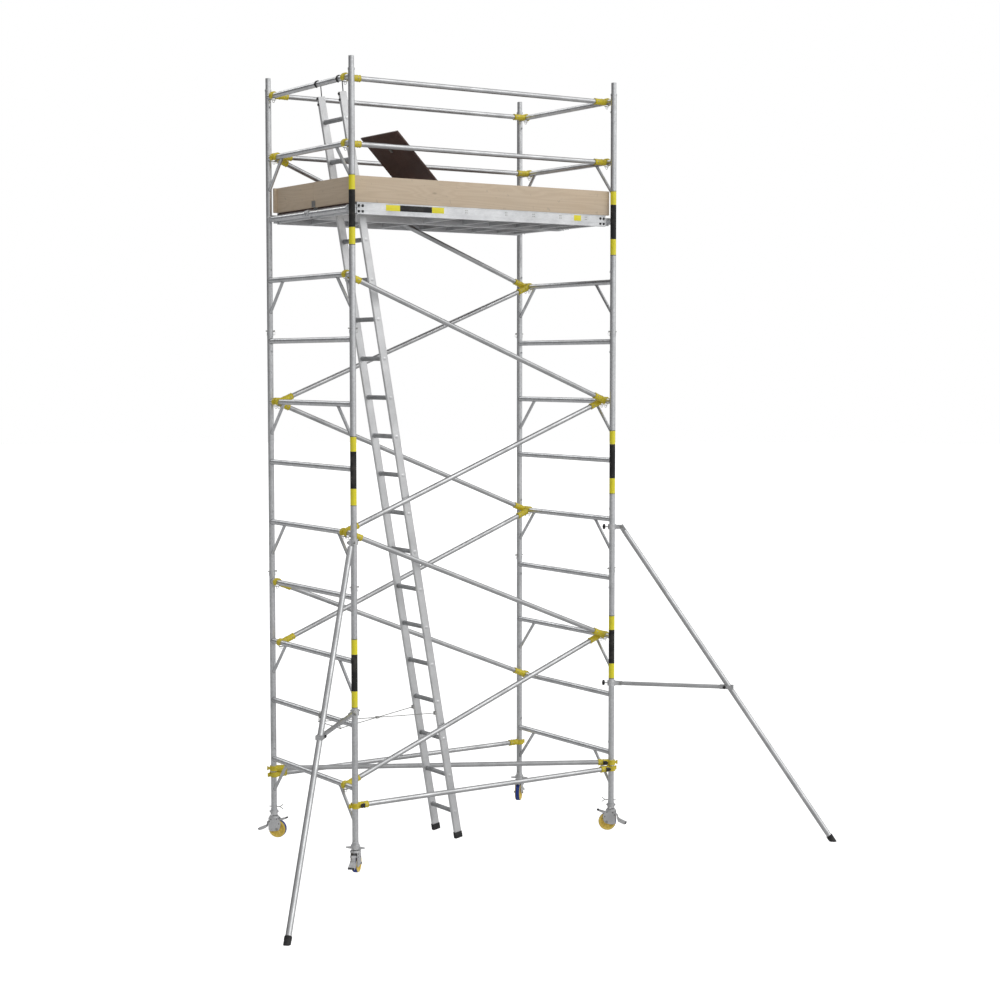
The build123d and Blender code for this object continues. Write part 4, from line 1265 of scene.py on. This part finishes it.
# ------------------------------------------------------------------ ladder
@dataclass
class Ladder:
    """The inclined ladder inside the tower, with its rungs, feet and holding rods."""

    near: float = 0.190
    far: float = 0.535
    foot_z: float = 0.095
    top_z: float = 6.078
    lean: float = 0.1758
    top_x: float = 0.027
    depth: float = 0.060
    width: float = 0.025
    pitch: float = 0.309
    first: float = 0.3165
    count: int = 19
    rung_radius: float = 0.018
    rung_bore: float = 0.0128
    ridges: int = 18
    groove: float = 0.0009

    def centre_x(self, height: float) -> float:
        """X of the ladder's centre line at a height."""
        return PLAN.left_x + self.top_x + (6.076 - height) * self.lean

    def place(self) -> Matrix:
        """Place of the ladder's own axes: Z up along the stiles from the feet."""
        low = Vector((self.centre_x(self.foot_z), 0.0, self.foot_z))
        high = Vector((self.centre_x(self.top_z), 0.0, self.top_z))
        up = (high - low).normalized()
        side = Vector((up.z, 0.0, -up.x))
        depth = up.cross(side)
        made = Matrix((side, depth, up)).transposed().to_4x4()
        made.translation = low
        return made

    def heights(self) -> list[float]:
        """Distance of each rung along the stiles from the feet."""
        steep = 1.0 / math.hypot(1.0, self.lean)
        return [(self.first + self.pitch * k - self.foot_z) / steep for k in range(self.count)]

    def stile_centres(self) -> tuple[float, float]:
        """Y of the two stiles in the row frame."""
        return PLAN.front_y + self.near, PLAN.front_y + self.far

    def rungs(self, finishes: Finishes) -> None:
        """Build the ridged round rungs between the stiles, in a darker alloy that is a painted shade."""
        place = self.place()
        shape = Shape()
        low = self.stile_centres()[0] + self.width / 2 + 0.0002
        high = self.stile_centres()[1] - self.width / 2 - 0.0002
        sides = self.ridges * 4
        for height in self.heights():
            part = bmesh.new()
            rows = []
            for inside, y in ((True, low), (False, low), (False, high), (True, high)):
                row = []
                for k in range(sides):
                    turn = math.tau * k / sides
                    cut = self.groove if k % 4 in (1, 2) else 0.0
                    radius = self.rung_bore if inside else self.rung_radius - cut
                    point = (radius * math.cos(turn), y, height + radius * math.sin(turn))
                    row.append(part.verts.new(point))
                rows.append(row)
            skin(part, rows, closed=True)
            shape.join(part, place)
        rungs = shape.finish("ladder_rungs_ridged", finishes.rung)
        mount(rungs, "tower", ["ladder_rungs"])

    def swages(self, finishes: Finishes) -> None:
        """Swell a swaged collar round each rung's ends."""
        place = self.place()
        loops = []
        near, far = self.stile_centres()
        for height in self.heights():
            for y in (near + self.width / 2 + 0.0024, far - self.width / 2 - 0.0024):
                loop = circle(Vector((0.0, y, height)), X_AXIS, Z_AXIS, self.rung_radius + 0.0002, 24)
                loops.append([place @ point for point in loop])
        tree = bead_tree("rung_swage", 0.0024, 0.0, 8)
        # The swages share the rungs' darker alloy, a painted shade.
        mount(tree.apply("ladder_swages", loops_mesh(loops), finishes.rung), "tower")

    def rung_ends(self, finishes: Finishes) -> None:
        """Close each rung with a pressed cup on the stiles' outer faces."""
        place = self.place()
        turn = place.to_3x3()
        places = []
        near, far = self.stile_centres()
        for height in self.heights():
            for y, sign in ((near - self.width / 2, -1), (far + self.width / 2, 1)):
                places.append((place @ Vector((0.0, y, height)), turn @ (Y_AXIS * sign)))
        tree = rivet_tree("rung_cup", 0.0145, 0.0030)
        mount(tree.apply("ladder_rung_cups", points_mesh(places), finishes.stile), "tower")

    def grooves(self, finishes: Finishes) -> None:
        """Run two raised ridges up each broad face of the stiles."""
        place = self.place()
        length = (self.top_z - self.foot_z) * math.hypot(1.0, self.lean)
        shape = Shape()
        for y in self.stile_centres():
            for sign in (-1, 1):
                for x in (-0.0265, 0.0245):
                    face = y + sign * self.width / 2
                    y0, y1 = sorted((face - sign * 0.0003, face + sign * 0.0009))
                    shape.box((x, y0, 0.060), (x + 0.002, y1, length - 0.002), 0.0003, place)
        mount(shape.finish("ladder_stile_ridges", finishes.stile), "tower")

    def treads(self, finishes: Finishes) -> None:
        """Cut the tread of the rubber feet as small raised bars."""
        place = self.place()
        turn = place.to_3x3()
        places = []
        for y in self.stile_centres():
            for side in (-1, 1):
                for k in range(5):
                    point = place @ Vector((side * 0.0332, y, 0.006 + 0.009 * k))
                    places.append((point, turn @ Y_AXIS))
        tree = bar_tree("foot_tread", 0.028, 0.0032, 0.0016)
        mount(tree.apply("ladder_foot_treads", points_mesh(places), finishes.rubber), "tower")

    def build(self, finishes: Finishes) -> None:
        """Dress the ladder and add its details."""
        dress("ladder_stiles", finishes.stile)
        dress("ladder_feet", finishes.rubber)
        dress("ladder_hooks", finishes.dark_steel)
        dress("ladder_stay", finishes.zinc_pin)
        self.rungs(finishes)
        self.swages(finishes)
        self.rung_ends(finishes)
        self.grooves(finishes)
        self.treads(finishes)


# ------------------------------------------------------------------ castors
@dataclass
class Castor:
    """One braked swivel castor on its threaded jack."""

    corner: Corner
    stem_radius: float = 0.019
    stem_low: float = 0.1853
    stem_top: float = 0.480
    lead: float = 0.010
    thread_depth: float = 0.0016
    wheel_offset: float = 0.031
    wheel_radius: float = 0.075
    rim_radius: float = 0.056
    boss_radius: float = 0.017
    spokes: int = 9

    def place(self) -> Matrix:
        """Place of the castor's own axes: X outward along its travel, Z up."""
        side, depth = self.corner.inward
        outward = Vector((-side * DIAGONAL, -depth * DIAGONAL, 0.0))
        made = Matrix((outward, Z_AXIS.cross(outward), Z_AXIS)).transposed().to_4x4()
        made.translation = PLAN.post(self.corner)
        return made

    def name(self, piece: str) -> str:
        """A piece's name at this corner."""
        return f"{piece}_{self.corner.label}"

    def thread(self, finishes: Finishes) -> None:
        """Cut the jack's rolled thread with a tree that shapes a plain cylinder."""
        tree = Repeat(self.name("jack_thread_tree"), {
            "Lead": self.lead, "Depth": self.thread_depth, "Radius": self.stem_radius,
        })
        place = tree.add("GeometryNodeInputPosition")
        x = tree.add("ShaderNodeSeparateXYZ", {}, {0: place})
        y, z = (Socket(tree, x.socket.node.outputs[k]) for k in (1, 2))
        angle = y.maths("ARCTAN2", x) * (1.0 / math.tau)
        phase = (z / tree.given("Lead") - angle).maths("FRACT")
        slope = (phase - 0.5).maths("ABSOLUTE") * 2.0 - 0.35
        valley = slope.maths("MAXIMUM", 0.0).maths("MINIMUM", 0.4) * 2.5
        flat = (x * x + y * y).maths("SQRT")
        target = tree.given("Radius") - tree.given("Depth") * valley
        scale = target / flat.maths("MAXIMUM", 0.001)
        moved = tree.add("ShaderNodeCombineXYZ", {}, {0: x * scale, 1: y * scale, 2: z})
        inputs = {"Geometry": tree.given("Geometry"), "Position": moved}
        shaped = tree.add("GeometryNodeSetPosition", {}, inputs)
        tree.end(shaped)
        rows, sides = 210, 40
        length = self.stem_top - self.stem_low
        base = bmesh.new()
        skin(base, [ring(base, self.stem_radius, length * k / rows, sides) for k in range(rows + 1)])
        mesh = bpy.data.meshes.new("stem_base")
        base.to_mesh(mesh)
        base.free()
        obj = tree.apply(self.name("jack_thread"), mesh, finishes.zinc_pin, 50.0)
        made = self.place() @ Matrix.Translation((0.0, 0.0, self.stem_low))
        obj.data.transform(made)
        closing = bmesh.new()
        closing.from_mesh(obj.data)
        bmesh.ops.holes_fill(closing, edges=[edge for edge in closing.edges if edge.is_boundary])
        bmesh.ops.recalc_face_normals(closing, faces=closing.faces)
        closing.to_mesh(obj.data)
        closing.free()
        kingpin = Shape()
        profile = (
            (0.0, 0.1723), (0.0149, 0.1723), (0.0149, 0.1781), (0.0098, 0.1782), (0.0098, 0.1865),
            (0.0, 0.1865),
        )
        kingpin.turned(profile, self.place())
        pin = kingpin.finish(self.name("jack_kingpin"), finishes.zinc_pin)
        body = self.name("jack_stem")
        mount(obj, body, [self.name("jack_stem")])
        mount(pin, body)

    def nut_ribs(self, finishes: Finishes) -> None:
        """Rib the rim of the jack nut for grip."""
        place = self.place()
        places = []
        for k in range(22):
            turn = math.tau * k / 22
            point = place @ Vector((0.0342 * math.cos(turn), 0.0342 * math.sin(turn), 0.2195))
            places.append((point, Z_AXIS))
        tree = bar_tree(self.name("nut_rib_tree"), 0.0130, 0.0030, 0.0030)
        ribs = tree.apply(self.name("jack_nut_ribs"), points_mesh(places), finishes.cast_zinc)
        mount(ribs, self.name("jack_nut"))

    def nut_wings(self, finishes: Finishes) -> None:
        """Web the turning handles of the jack nut and cap their ends."""
        place = self.place()
        shape = Shape()
        web = (
            (0.029, 0.0105), (0.029, -0.0105), (0.046, -0.0090), (0.066, -0.0065), (0.066, 0.0065),
            (0.046, 0.0090),
        )
        for side in (-1, 1):
            turn = Matrix.Rotation(math.radians(90.0 * side), 4, "Z")
            lift = Matrix.Translation((0.0, 0.0, 0.203))
            shape.prism(web, 0.0035, place @ lift @ turn, 0.0008)
        mount(shape.finish(self.name("nut_wings"), finishes.cast_zinc), self.name("jack_nut"))

    def wheel(self, finishes: Finishes) -> None:
        """Turn the wheel's hub with spokes on both sides, and its rounded tyre."""
        centre = Matrix.Translation((-self.wheel_offset, 0.0, self.wheel_radius))
        axle = self.place() @ centre @ Matrix.Rotation(math.radians(90.0), 4, "X")
        hub = Shape()
        bore = 0.00805
        half = 0.0243
        profile = [
            (bore, -half), (self.boss_radius - 0.001, -half), (self.boss_radius, -half + 0.001),
            (self.boss_radius + 0.002, -0.0145), (self.boss_radius + 0.004, -0.0140),
            (self.rim_radius - 0.004, -0.0140), (self.rim_radius - 0.0015, -0.0155),
            (self.rim_radius, -0.0205), (self.rim_radius + 0.002, -0.0220), (0.0710, -0.0220),
            (0.0725, -0.0205), (0.0725, -0.0176), (0.0640, -0.0171),
        ]
        full = profile + [(radius, -height) for radius, height in reversed(profile)]
        hub.turned(full, axle, 56, closed=True)
        body = self.name("castor_wheel")
        disc = hub.finish(self.name("wheel_disc"), finishes.wheel_yellow)
        mount(disc, body, [self.name("castor_hub")])
        places = []
        turn = axle.to_3x3()
        for side in (-1, 1):
            for k in range(self.spokes):
                angle = math.tau * k / self.spokes
                out = Vector((math.cos(angle), math.sin(angle), 0.0))
                middle = (self.rim_radius + self.boss_radius) / 2
                places.append((axle @ (out * middle + Vector((0.0, 0.0, side * 0.0160))), turn @ out))
        tree = bar_tree(self.name("spoke_tree"), self.rim_radius - self.boss_radius + 0.004, 0.0042, 0.0058)
        spokes = tree.apply(self.name("wheel_spokes"), points_mesh(places), finishes.wheel_yellow)
        mount(spokes, body)
        tyre = Shape()
        outline = [
            (0.0643, -0.0166), (0.0712, -0.0169), (0.0738, -0.0158), (0.0748, -0.0130), (0.0750, -0.0075),
            (0.0750, -0.0022), (0.0742, -0.0012),
        ]
        full = outline + [(radius, -height) for radius, height in reversed(outline)]
        tyre.turned(full, axle, 72, closed=True)
        tread = tyre.finish(self.name("wheel_tyre"), finishes.wheel_blue)
        mount(tread, body, [self.name("castor_tyre")])

    def bolts(self, finishes: Finishes) -> None:
        """Put the hexagon nuts on the axle and the pedal's pivot."""
        place = self.place()
        turn = place.to_3x3()
        places = []
        for side in (-1, 1):
            aim = turn @ Vector((0.0, side, 0.0))
            places.append((place @ Vector((-self.wheel_offset, side * 0.0360, self.wheel_radius)), aim))
        tree = hex_tree(self.name("axle_nut_tree"), 0.0088, 0.0065)
        nuts = tree.apply(self.name("axle_nuts"), points_mesh(places), finishes.zinc_pin, 25.0)
        mount(nuts, self.name("castor_fork"))
        places = []
        for side in (-1, 1):
            aim = turn @ Vector((0.0, side, 0.0))
            places.append((place @ Vector((0.034, side * 0.0330, 0.138)), aim))
            for x, z in ((-0.030, 0.160), (0.020, 0.156), (-0.048, 0.120)):
                places.append((place @ Vector((x, side * 0.0289, z)), aim))
        tree = rivet_tree(self.name("fork_rivet_tree"), 0.0048, 0.0026)
        rivets = tree.apply(self.name("fork_rivets"), points_mesh(places), finishes.dark_steel)
        mount(rivets, self.name("castor_fork"))

    def pedal_grips(self, finishes: Finishes) -> None:
        """Raise the grip bars on the tread of the brake pedal."""
        place = self.place()
        turn = place.to_3x3()
        places = []
        for k in range(5):
            share = 0.12 + 0.17 * k
            x = 0.072 + (0.133 - 0.072) * share
            z = 0.0985 + (0.0705 - 0.0985) * share
            places.append((place @ Vector((x, 0.0, z)), turn @ Vector((0.0, 1.0, 0.0))))
        tree = bar_tree(self.name("grip_tree"), 0.046, 0.0028, 0.0028)
        grips = tree.apply(self.name("pedal_grips"), points_mesh(places), finishes.cast_zinc)
        mount(grips, self.name("brake_pedal"))

    def pedal_skirts(self, finishes: Finishes) -> None:
        """Fold down the pressed skirts along both sides of the pedal and its release arm."""
        place = self.place()
        shape = Shape()
        toe = (
            (0.060, 0.112), (0.074, 0.0985), (0.1335, 0.0715), (0.1335, 0.0640), (0.120, 0.0560),
            (0.084, 0.0700), (0.062, 0.0820),
        )
        arm = (
            (-0.050, 0.1585), (-0.112, 0.1745), (-0.116, 0.1690), (-0.110, 0.1625), (-0.072, 0.1480),
            (-0.052, 0.1470),
        )
        for side in (-1, 1):
            shape.prism(toe, 0.0015, place @ Matrix.Translation((0.0, side * 0.0243, 0.0)), 0.0005)
            shape.prism(arm, 0.0015, place @ Matrix.Translation((0.0, side * 0.0148, 0.0)), 0.0005)
        body = self.name("brake_pedal")
        mount(shape.finish(self.name("pedal_skirts"), finishes.cast_zinc), body)
        caps = Shape()
        toe_cap = ((0.1255, 0.0765), (0.1357, 0.0727), (0.1352, 0.0650), (0.1290, 0.0600), (0.1215, 0.0640))
        arm_cap = (
            (-0.1040, 0.1760), (-0.1195, 0.1775), (-0.1205, 0.1690), (-0.1100, 0.1640), (-0.1020, 0.1655)
        )
        caps.prism(toe_cap, 0.0262, place, 0.0012)
        caps.prism(arm_cap, 0.0172, place, 0.0012)
        mount(caps.finish(self.name("pedal_caps"), finishes.knob_black), body)

    def build(self, finishes: Finishes) -> None:
        """Dress the castor and add its details."""
        self.pedal_skirts(finishes)
        for piece in ("jack_nut", "castor_fork", "brake_pedal"):
            dress(self.name(piece), finishes.cast_zinc)
        self.thread(finishes)
        self.nut_ribs(finishes)
        self.nut_wings(finishes)
        self.wheel(finishes)
        self.bolts(finishes)
        self.pedal_grips(finishes)


# ------------------------------------------------------------------ outriggers
@dataclass
class Outrigger:
    """One outrigger: leg, strut, rubber foot and the two post clamps."""

    corner: Corner
    angle: float = math.radians(46.0)
    radius: float = 1.870
    top: float = 2.608
    pin_x: float = 0.082
    foot_z: float = 0.012
    low: float = 1.272
    low_pin_x: float = 0.078
    clamp_radius: float = 0.0338
    foot_radius: float = 0.027

    def place(self) -> Matrix:
        """Place of the outrigger's own axes: X outward, Z up, at the foot of its post."""
        side = -self.corner.inward[0]
        x_axis = Vector((side * math.cos(self.angle), -math.sin(self.angle), 0.0))
        z_axis = Vector((0.0, 0.0, 1.0))
        made = Matrix((x_axis, z_axis.cross(x_axis), z_axis)).transposed().to_4x4()
        made.translation = PLAN.post(self.corner)
        return made

    def name(self, piece: str) -> str:
        """A piece's name at this corner."""
        return f"{piece}_{self.corner.label}"

    def slope(self) -> Vector:
        """Downward direction of the leg in the outrigger's own axes."""
        return (Vector((self.radius, 0.0, self.foot_z)) - Vector((self.pin_x, 0.0, self.top))).normalized()

    def foot_rings(self, finishes: Finishes) -> None:
        """Ring the rubber foot with its moulded grooves."""
        place, slope = self.place(), self.slope()
        ground = Vector((self.radius, 0.0, self.foot_z))
        across = slope.cross(Y_AXIS)
        loops = []
        for back in (0.022, 0.030, 0.038):
            loop = circle(ground - slope * back, Y_AXIS, across, self.foot_radius, 28)
            loops.append([place @ point for point in loop])
        tree = bead_tree(self.name("foot_ring_tree"), 0.0016, 0.0, 8)
        rings = tree.apply(self.name("foot_rings"), loops_mesh(loops), finishes.rubber)
        mount(rings, self.name("outrigger"))

    def bolts(self, finishes: Finishes) -> None:
        """Fit the pivot bolts' nuts and the strut collar's black bolt."""
        place = self.place()
        turn = place.to_3x3()
        places = []
        for height, x in ((self.top, self.pin_x), (self.low, self.low_pin_x)):
            for side in (-1, 1):
                places.append((place @ Vector((x, side * 0.0240, height)), turn @ (Y_AXIS * side)))
        tree = hex_tree(self.name("pivot_nut_tree"), 0.0095, 0.0075)
        nuts = tree.apply(self.name("pivot_nuts"), points_mesh(places), finishes.zinc_pin, 25.0)
        mount(nuts, self.name("outrigger"))
        slope = self.slope()
        middle = Vector((self.pin_x, 0.0, self.top)) + slope * ((self.top - self.low) / -slope.z)
        places = []
        for side in (-1, 1):
            point = middle + Vector((-0.040, side * 0.0270, 0.0))
            places.append((place @ point, turn @ (Y_AXIS * side)))
        tree = hex_tree(self.name("collar_nut_tree"), 0.0100, 0.0085)
        bolts = tree.apply(self.name("collar_bolts"), points_mesh(places), finishes.knob_black, 25.0)
        mount(bolts, self.name("outrigger"))

    def knobs(self, finishes: Finishes) -> None:
        """Give the star knobs their black colour and the clamps their cast grey."""
        obj = dress(self.name("outrigger_clamps"), finishes.cast_zinc, finishes.knob_black)
        away = self.place().inverted()
        for face in obj.data.polygons:
            face.material_index = 1 if (away @ face.center).x < -0.0575 else 0
        caps = []
        place = self.place()
        for height in (self.top, self.low):
            caps.append((place @ Vector((-0.0782, 0.0, height)), place.to_3x3() @ Vector((-1.0, 0.0, 0.0))))
        tree = rivet_tree(self.name("knob_cap_tree"), 0.0095, 0.0035)
        capped = tree.apply(self.name("knob_caps"), points_mesh(caps), finishes.knob_black)
        mount(capped, self.name("outrigger"))

    def clamp_ribs(self, finishes: Finishes) -> None:
        """Raise the cast ribs round both post clamps."""
        place = self.place()
        lines = []
        for height in (self.top, self.low):
            for step in (-0.019, 0.019):
                line = []
                for k in range(25):
                    turn = math.radians(50.0 + 260.0 * k / 24)
                    x, y = self.clamp_radius * math.cos(turn), self.clamp_radius * math.sin(turn)
                    line.append(place @ Vector((x, y, height + step)))
                lines.append(line)
        tree = bead_tree(self.name("clamp_rib_tree"), 0.0024, 0.0, 8)
        ribs = tree.apply(self.name("clamp_ribs"), loops_mesh(lines, False), finishes.cast_zinc)
        mount(ribs, self.name("outrigger"))

    def build(self, finishes: Finishes) -> None:
        """Dress the outrigger and add its details."""
        dress(self.name("outrigger_leg"), finishes.brace)
        dress(self.name("outrigger_strut"), finishes.brace)
        dress(self.name("outrigger_foot"), finishes.rubber)
        self.foot_rings(finishes)
        self.bolts(finishes)
        self.knobs(finishes)
        self.clamp_ribs(finishes)


# ------------------------------------------------------------------ studio
@dataclass
class Studio:
    """Pale floor, soft light and the camera."""

    floor_radius: float = 90.0
    floor_drop: float = 0.215  # leaves room for the jacks to wind the castors out
    eye: Point = (-8.4745, -12.8542, 3.9599)
    pitch: float = -0.070
    yaw: float = -0.591
    lens: float = 68.35
    floor_glow: float = 0.80
    sky_strength: float = 0.8
    bright_side: tuple[float, float] = (0.45, -0.89)
    around: tuple[tuple[float, Colour], ...] = (
        (0.0, (0.08, 0.08, 0.084)), (0.36, (0.20, 0.20, 0.204)), (0.60, (0.50, 0.50, 0.505)),
        (0.80, (0.90, 0.90, 0.90)), (1.0, (1.3, 1.3, 1.3)),
    )

    def floor(self) -> None:
        """Lay the floor as one wide disc, pale enough to run into the backdrop."""
        paint = Paint("pale_floor")
        cloud = paint.noise(0.35, 3.0)
        colour = paint.blend(cloud * 0.3, (0.64, 0.64, 0.64), (0.60, 0.60, 0.602))
        matt = paint.add("ShaderNodeBsdfDiffuse", {}, {"Color": colour})
        glow = paint.add("ShaderNodeEmission", {}, {"Color": (1.0, 1.0, 1.0), "Strength": self.floor_glow})
        lit = paint.add("ShaderNodeAddShader", {}, {0: matt, 1: glow})
        seen = paint.add("ShaderNodeLightPath", output="Is Camera Ray")
        both = paint.add("ShaderNodeMixShader", {}, {0: seen, 1: matt, 2: lit})
        paint.add("ShaderNodeOutputMaterial", {}, {"Surface": both})
        shape = Shape()
        bmesh.ops.create_circle(shape.bm, cap_ends=True, segments=96, radius=self.floor_radius)
        floor = shape.finish("floor", paint.material)
        floor.data.transform(Matrix.Translation((0.0, 0.0, -self.floor_drop)))

    def light(self, name: str, direction: Point, angle: float, strength: float) -> None:
        """Hang one wide, soft distant light."""
        data = bpy.data.lights.new(name, "SUN")
        data.angle = math.radians(angle)
        data.energy = strength
        lamp = bpy.data.objects.new(name, data)
        lamp.rotation_euler = (-Vector(direction)).to_track_quat("-Z", "Y").to_euler()
        bpy.context.scene.collection.objects.link(lamp)

    def sky(self) -> None:
        """Fill the surroundings with soft light, brightest over the tower's front right."""
        world = bpy.data.worlds.new("studio")
        bpy.context.scene.world = world
        world.use_nodes = True
        world.node_tree.nodes.clear()
        tree = NodeTree(world.node_tree)
        place = tree.add("ShaderNodeTexCoord", output="Generated")
        first = tree.add("ShaderNodeSeparateXYZ", {}, {0: place})
        second, up = (Socket(tree, first.socket.node.outputs[k]) for k in (1, 2))
        facing = first * self.bright_side[0] + second * self.bright_side[1]
        around = tree.add("ShaderNodeValToRGB", {"stops": self.around}, {0: facing * 0.5 + 0.5})
        above = up.between(0.25, 0.95) * 0.75
        inputs = {0: above, 6: around, 7: (0.95, 0.95, 0.96)}
        shade = tree.add("ShaderNodeMix", {"data_type": "RGBA"}, inputs, output=2)
        soft = tree.add("ShaderNodeBackground", {}, {"Color": shade, "Strength": self.sky_strength})
        white = tree.add("ShaderNodeBackground", {}, {"Color": (1.0, 1.0, 1.0), "Strength": 1.0})
        seen = tree.add("ShaderNodeLightPath", output="Is Camera Ray")
        both = tree.add("ShaderNodeMixShader", {}, {0: seen, 1: soft, 2: white})
        tree.add("ShaderNodeOutputWorld", {}, {"Surface": both})

    def camera(self) -> None:
        """Set the camera up at its measured place."""
        data = bpy.data.cameras.new("camera")
        data.sensor_width = 36.0
        data.lens = self.lens
        data.clip_end = 500.0
        camera = bpy.data.objects.new("camera", data)
        camera.location = self.eye
        camera.rotation_euler = (math.pi / 2 + self.pitch, 0.0, self.yaw)
        bpy.context.scene.collection.objects.link(camera)
        bpy.context.scene.camera = camera

    def build(self) -> None:
        """Set the studio up."""
        self.floor()
        self.sky()
        self.light("key", (0.45, -0.80, 0.75), 45.0, 0.62)
        self.light("fill", (-0.2, 0.85, 0.6), 30.0, 0.35)
        self.camera()
        bpy.context.scene.view_settings.view_transform = "Standard"


def main() -> None:
    """Build every sub-assembly in order."""
    logging.basicConfig(level=logging.INFO, format="%(message)s")
    finishes = Finishes()
    EndFrames().build(finishes)
    Braces().build(finishes)
    Platform().build(finishes)
    Ladder().build(finishes)
    for corner in Corner:
        Castor(corner).build(finishes)
    for corner in (Corner.FRONT_LEFT, Corner.FRONT_RIGHT):
        Outrigger(corner).build(finishes)
    Studio().build()


if __name__ == "__main__":
    main()
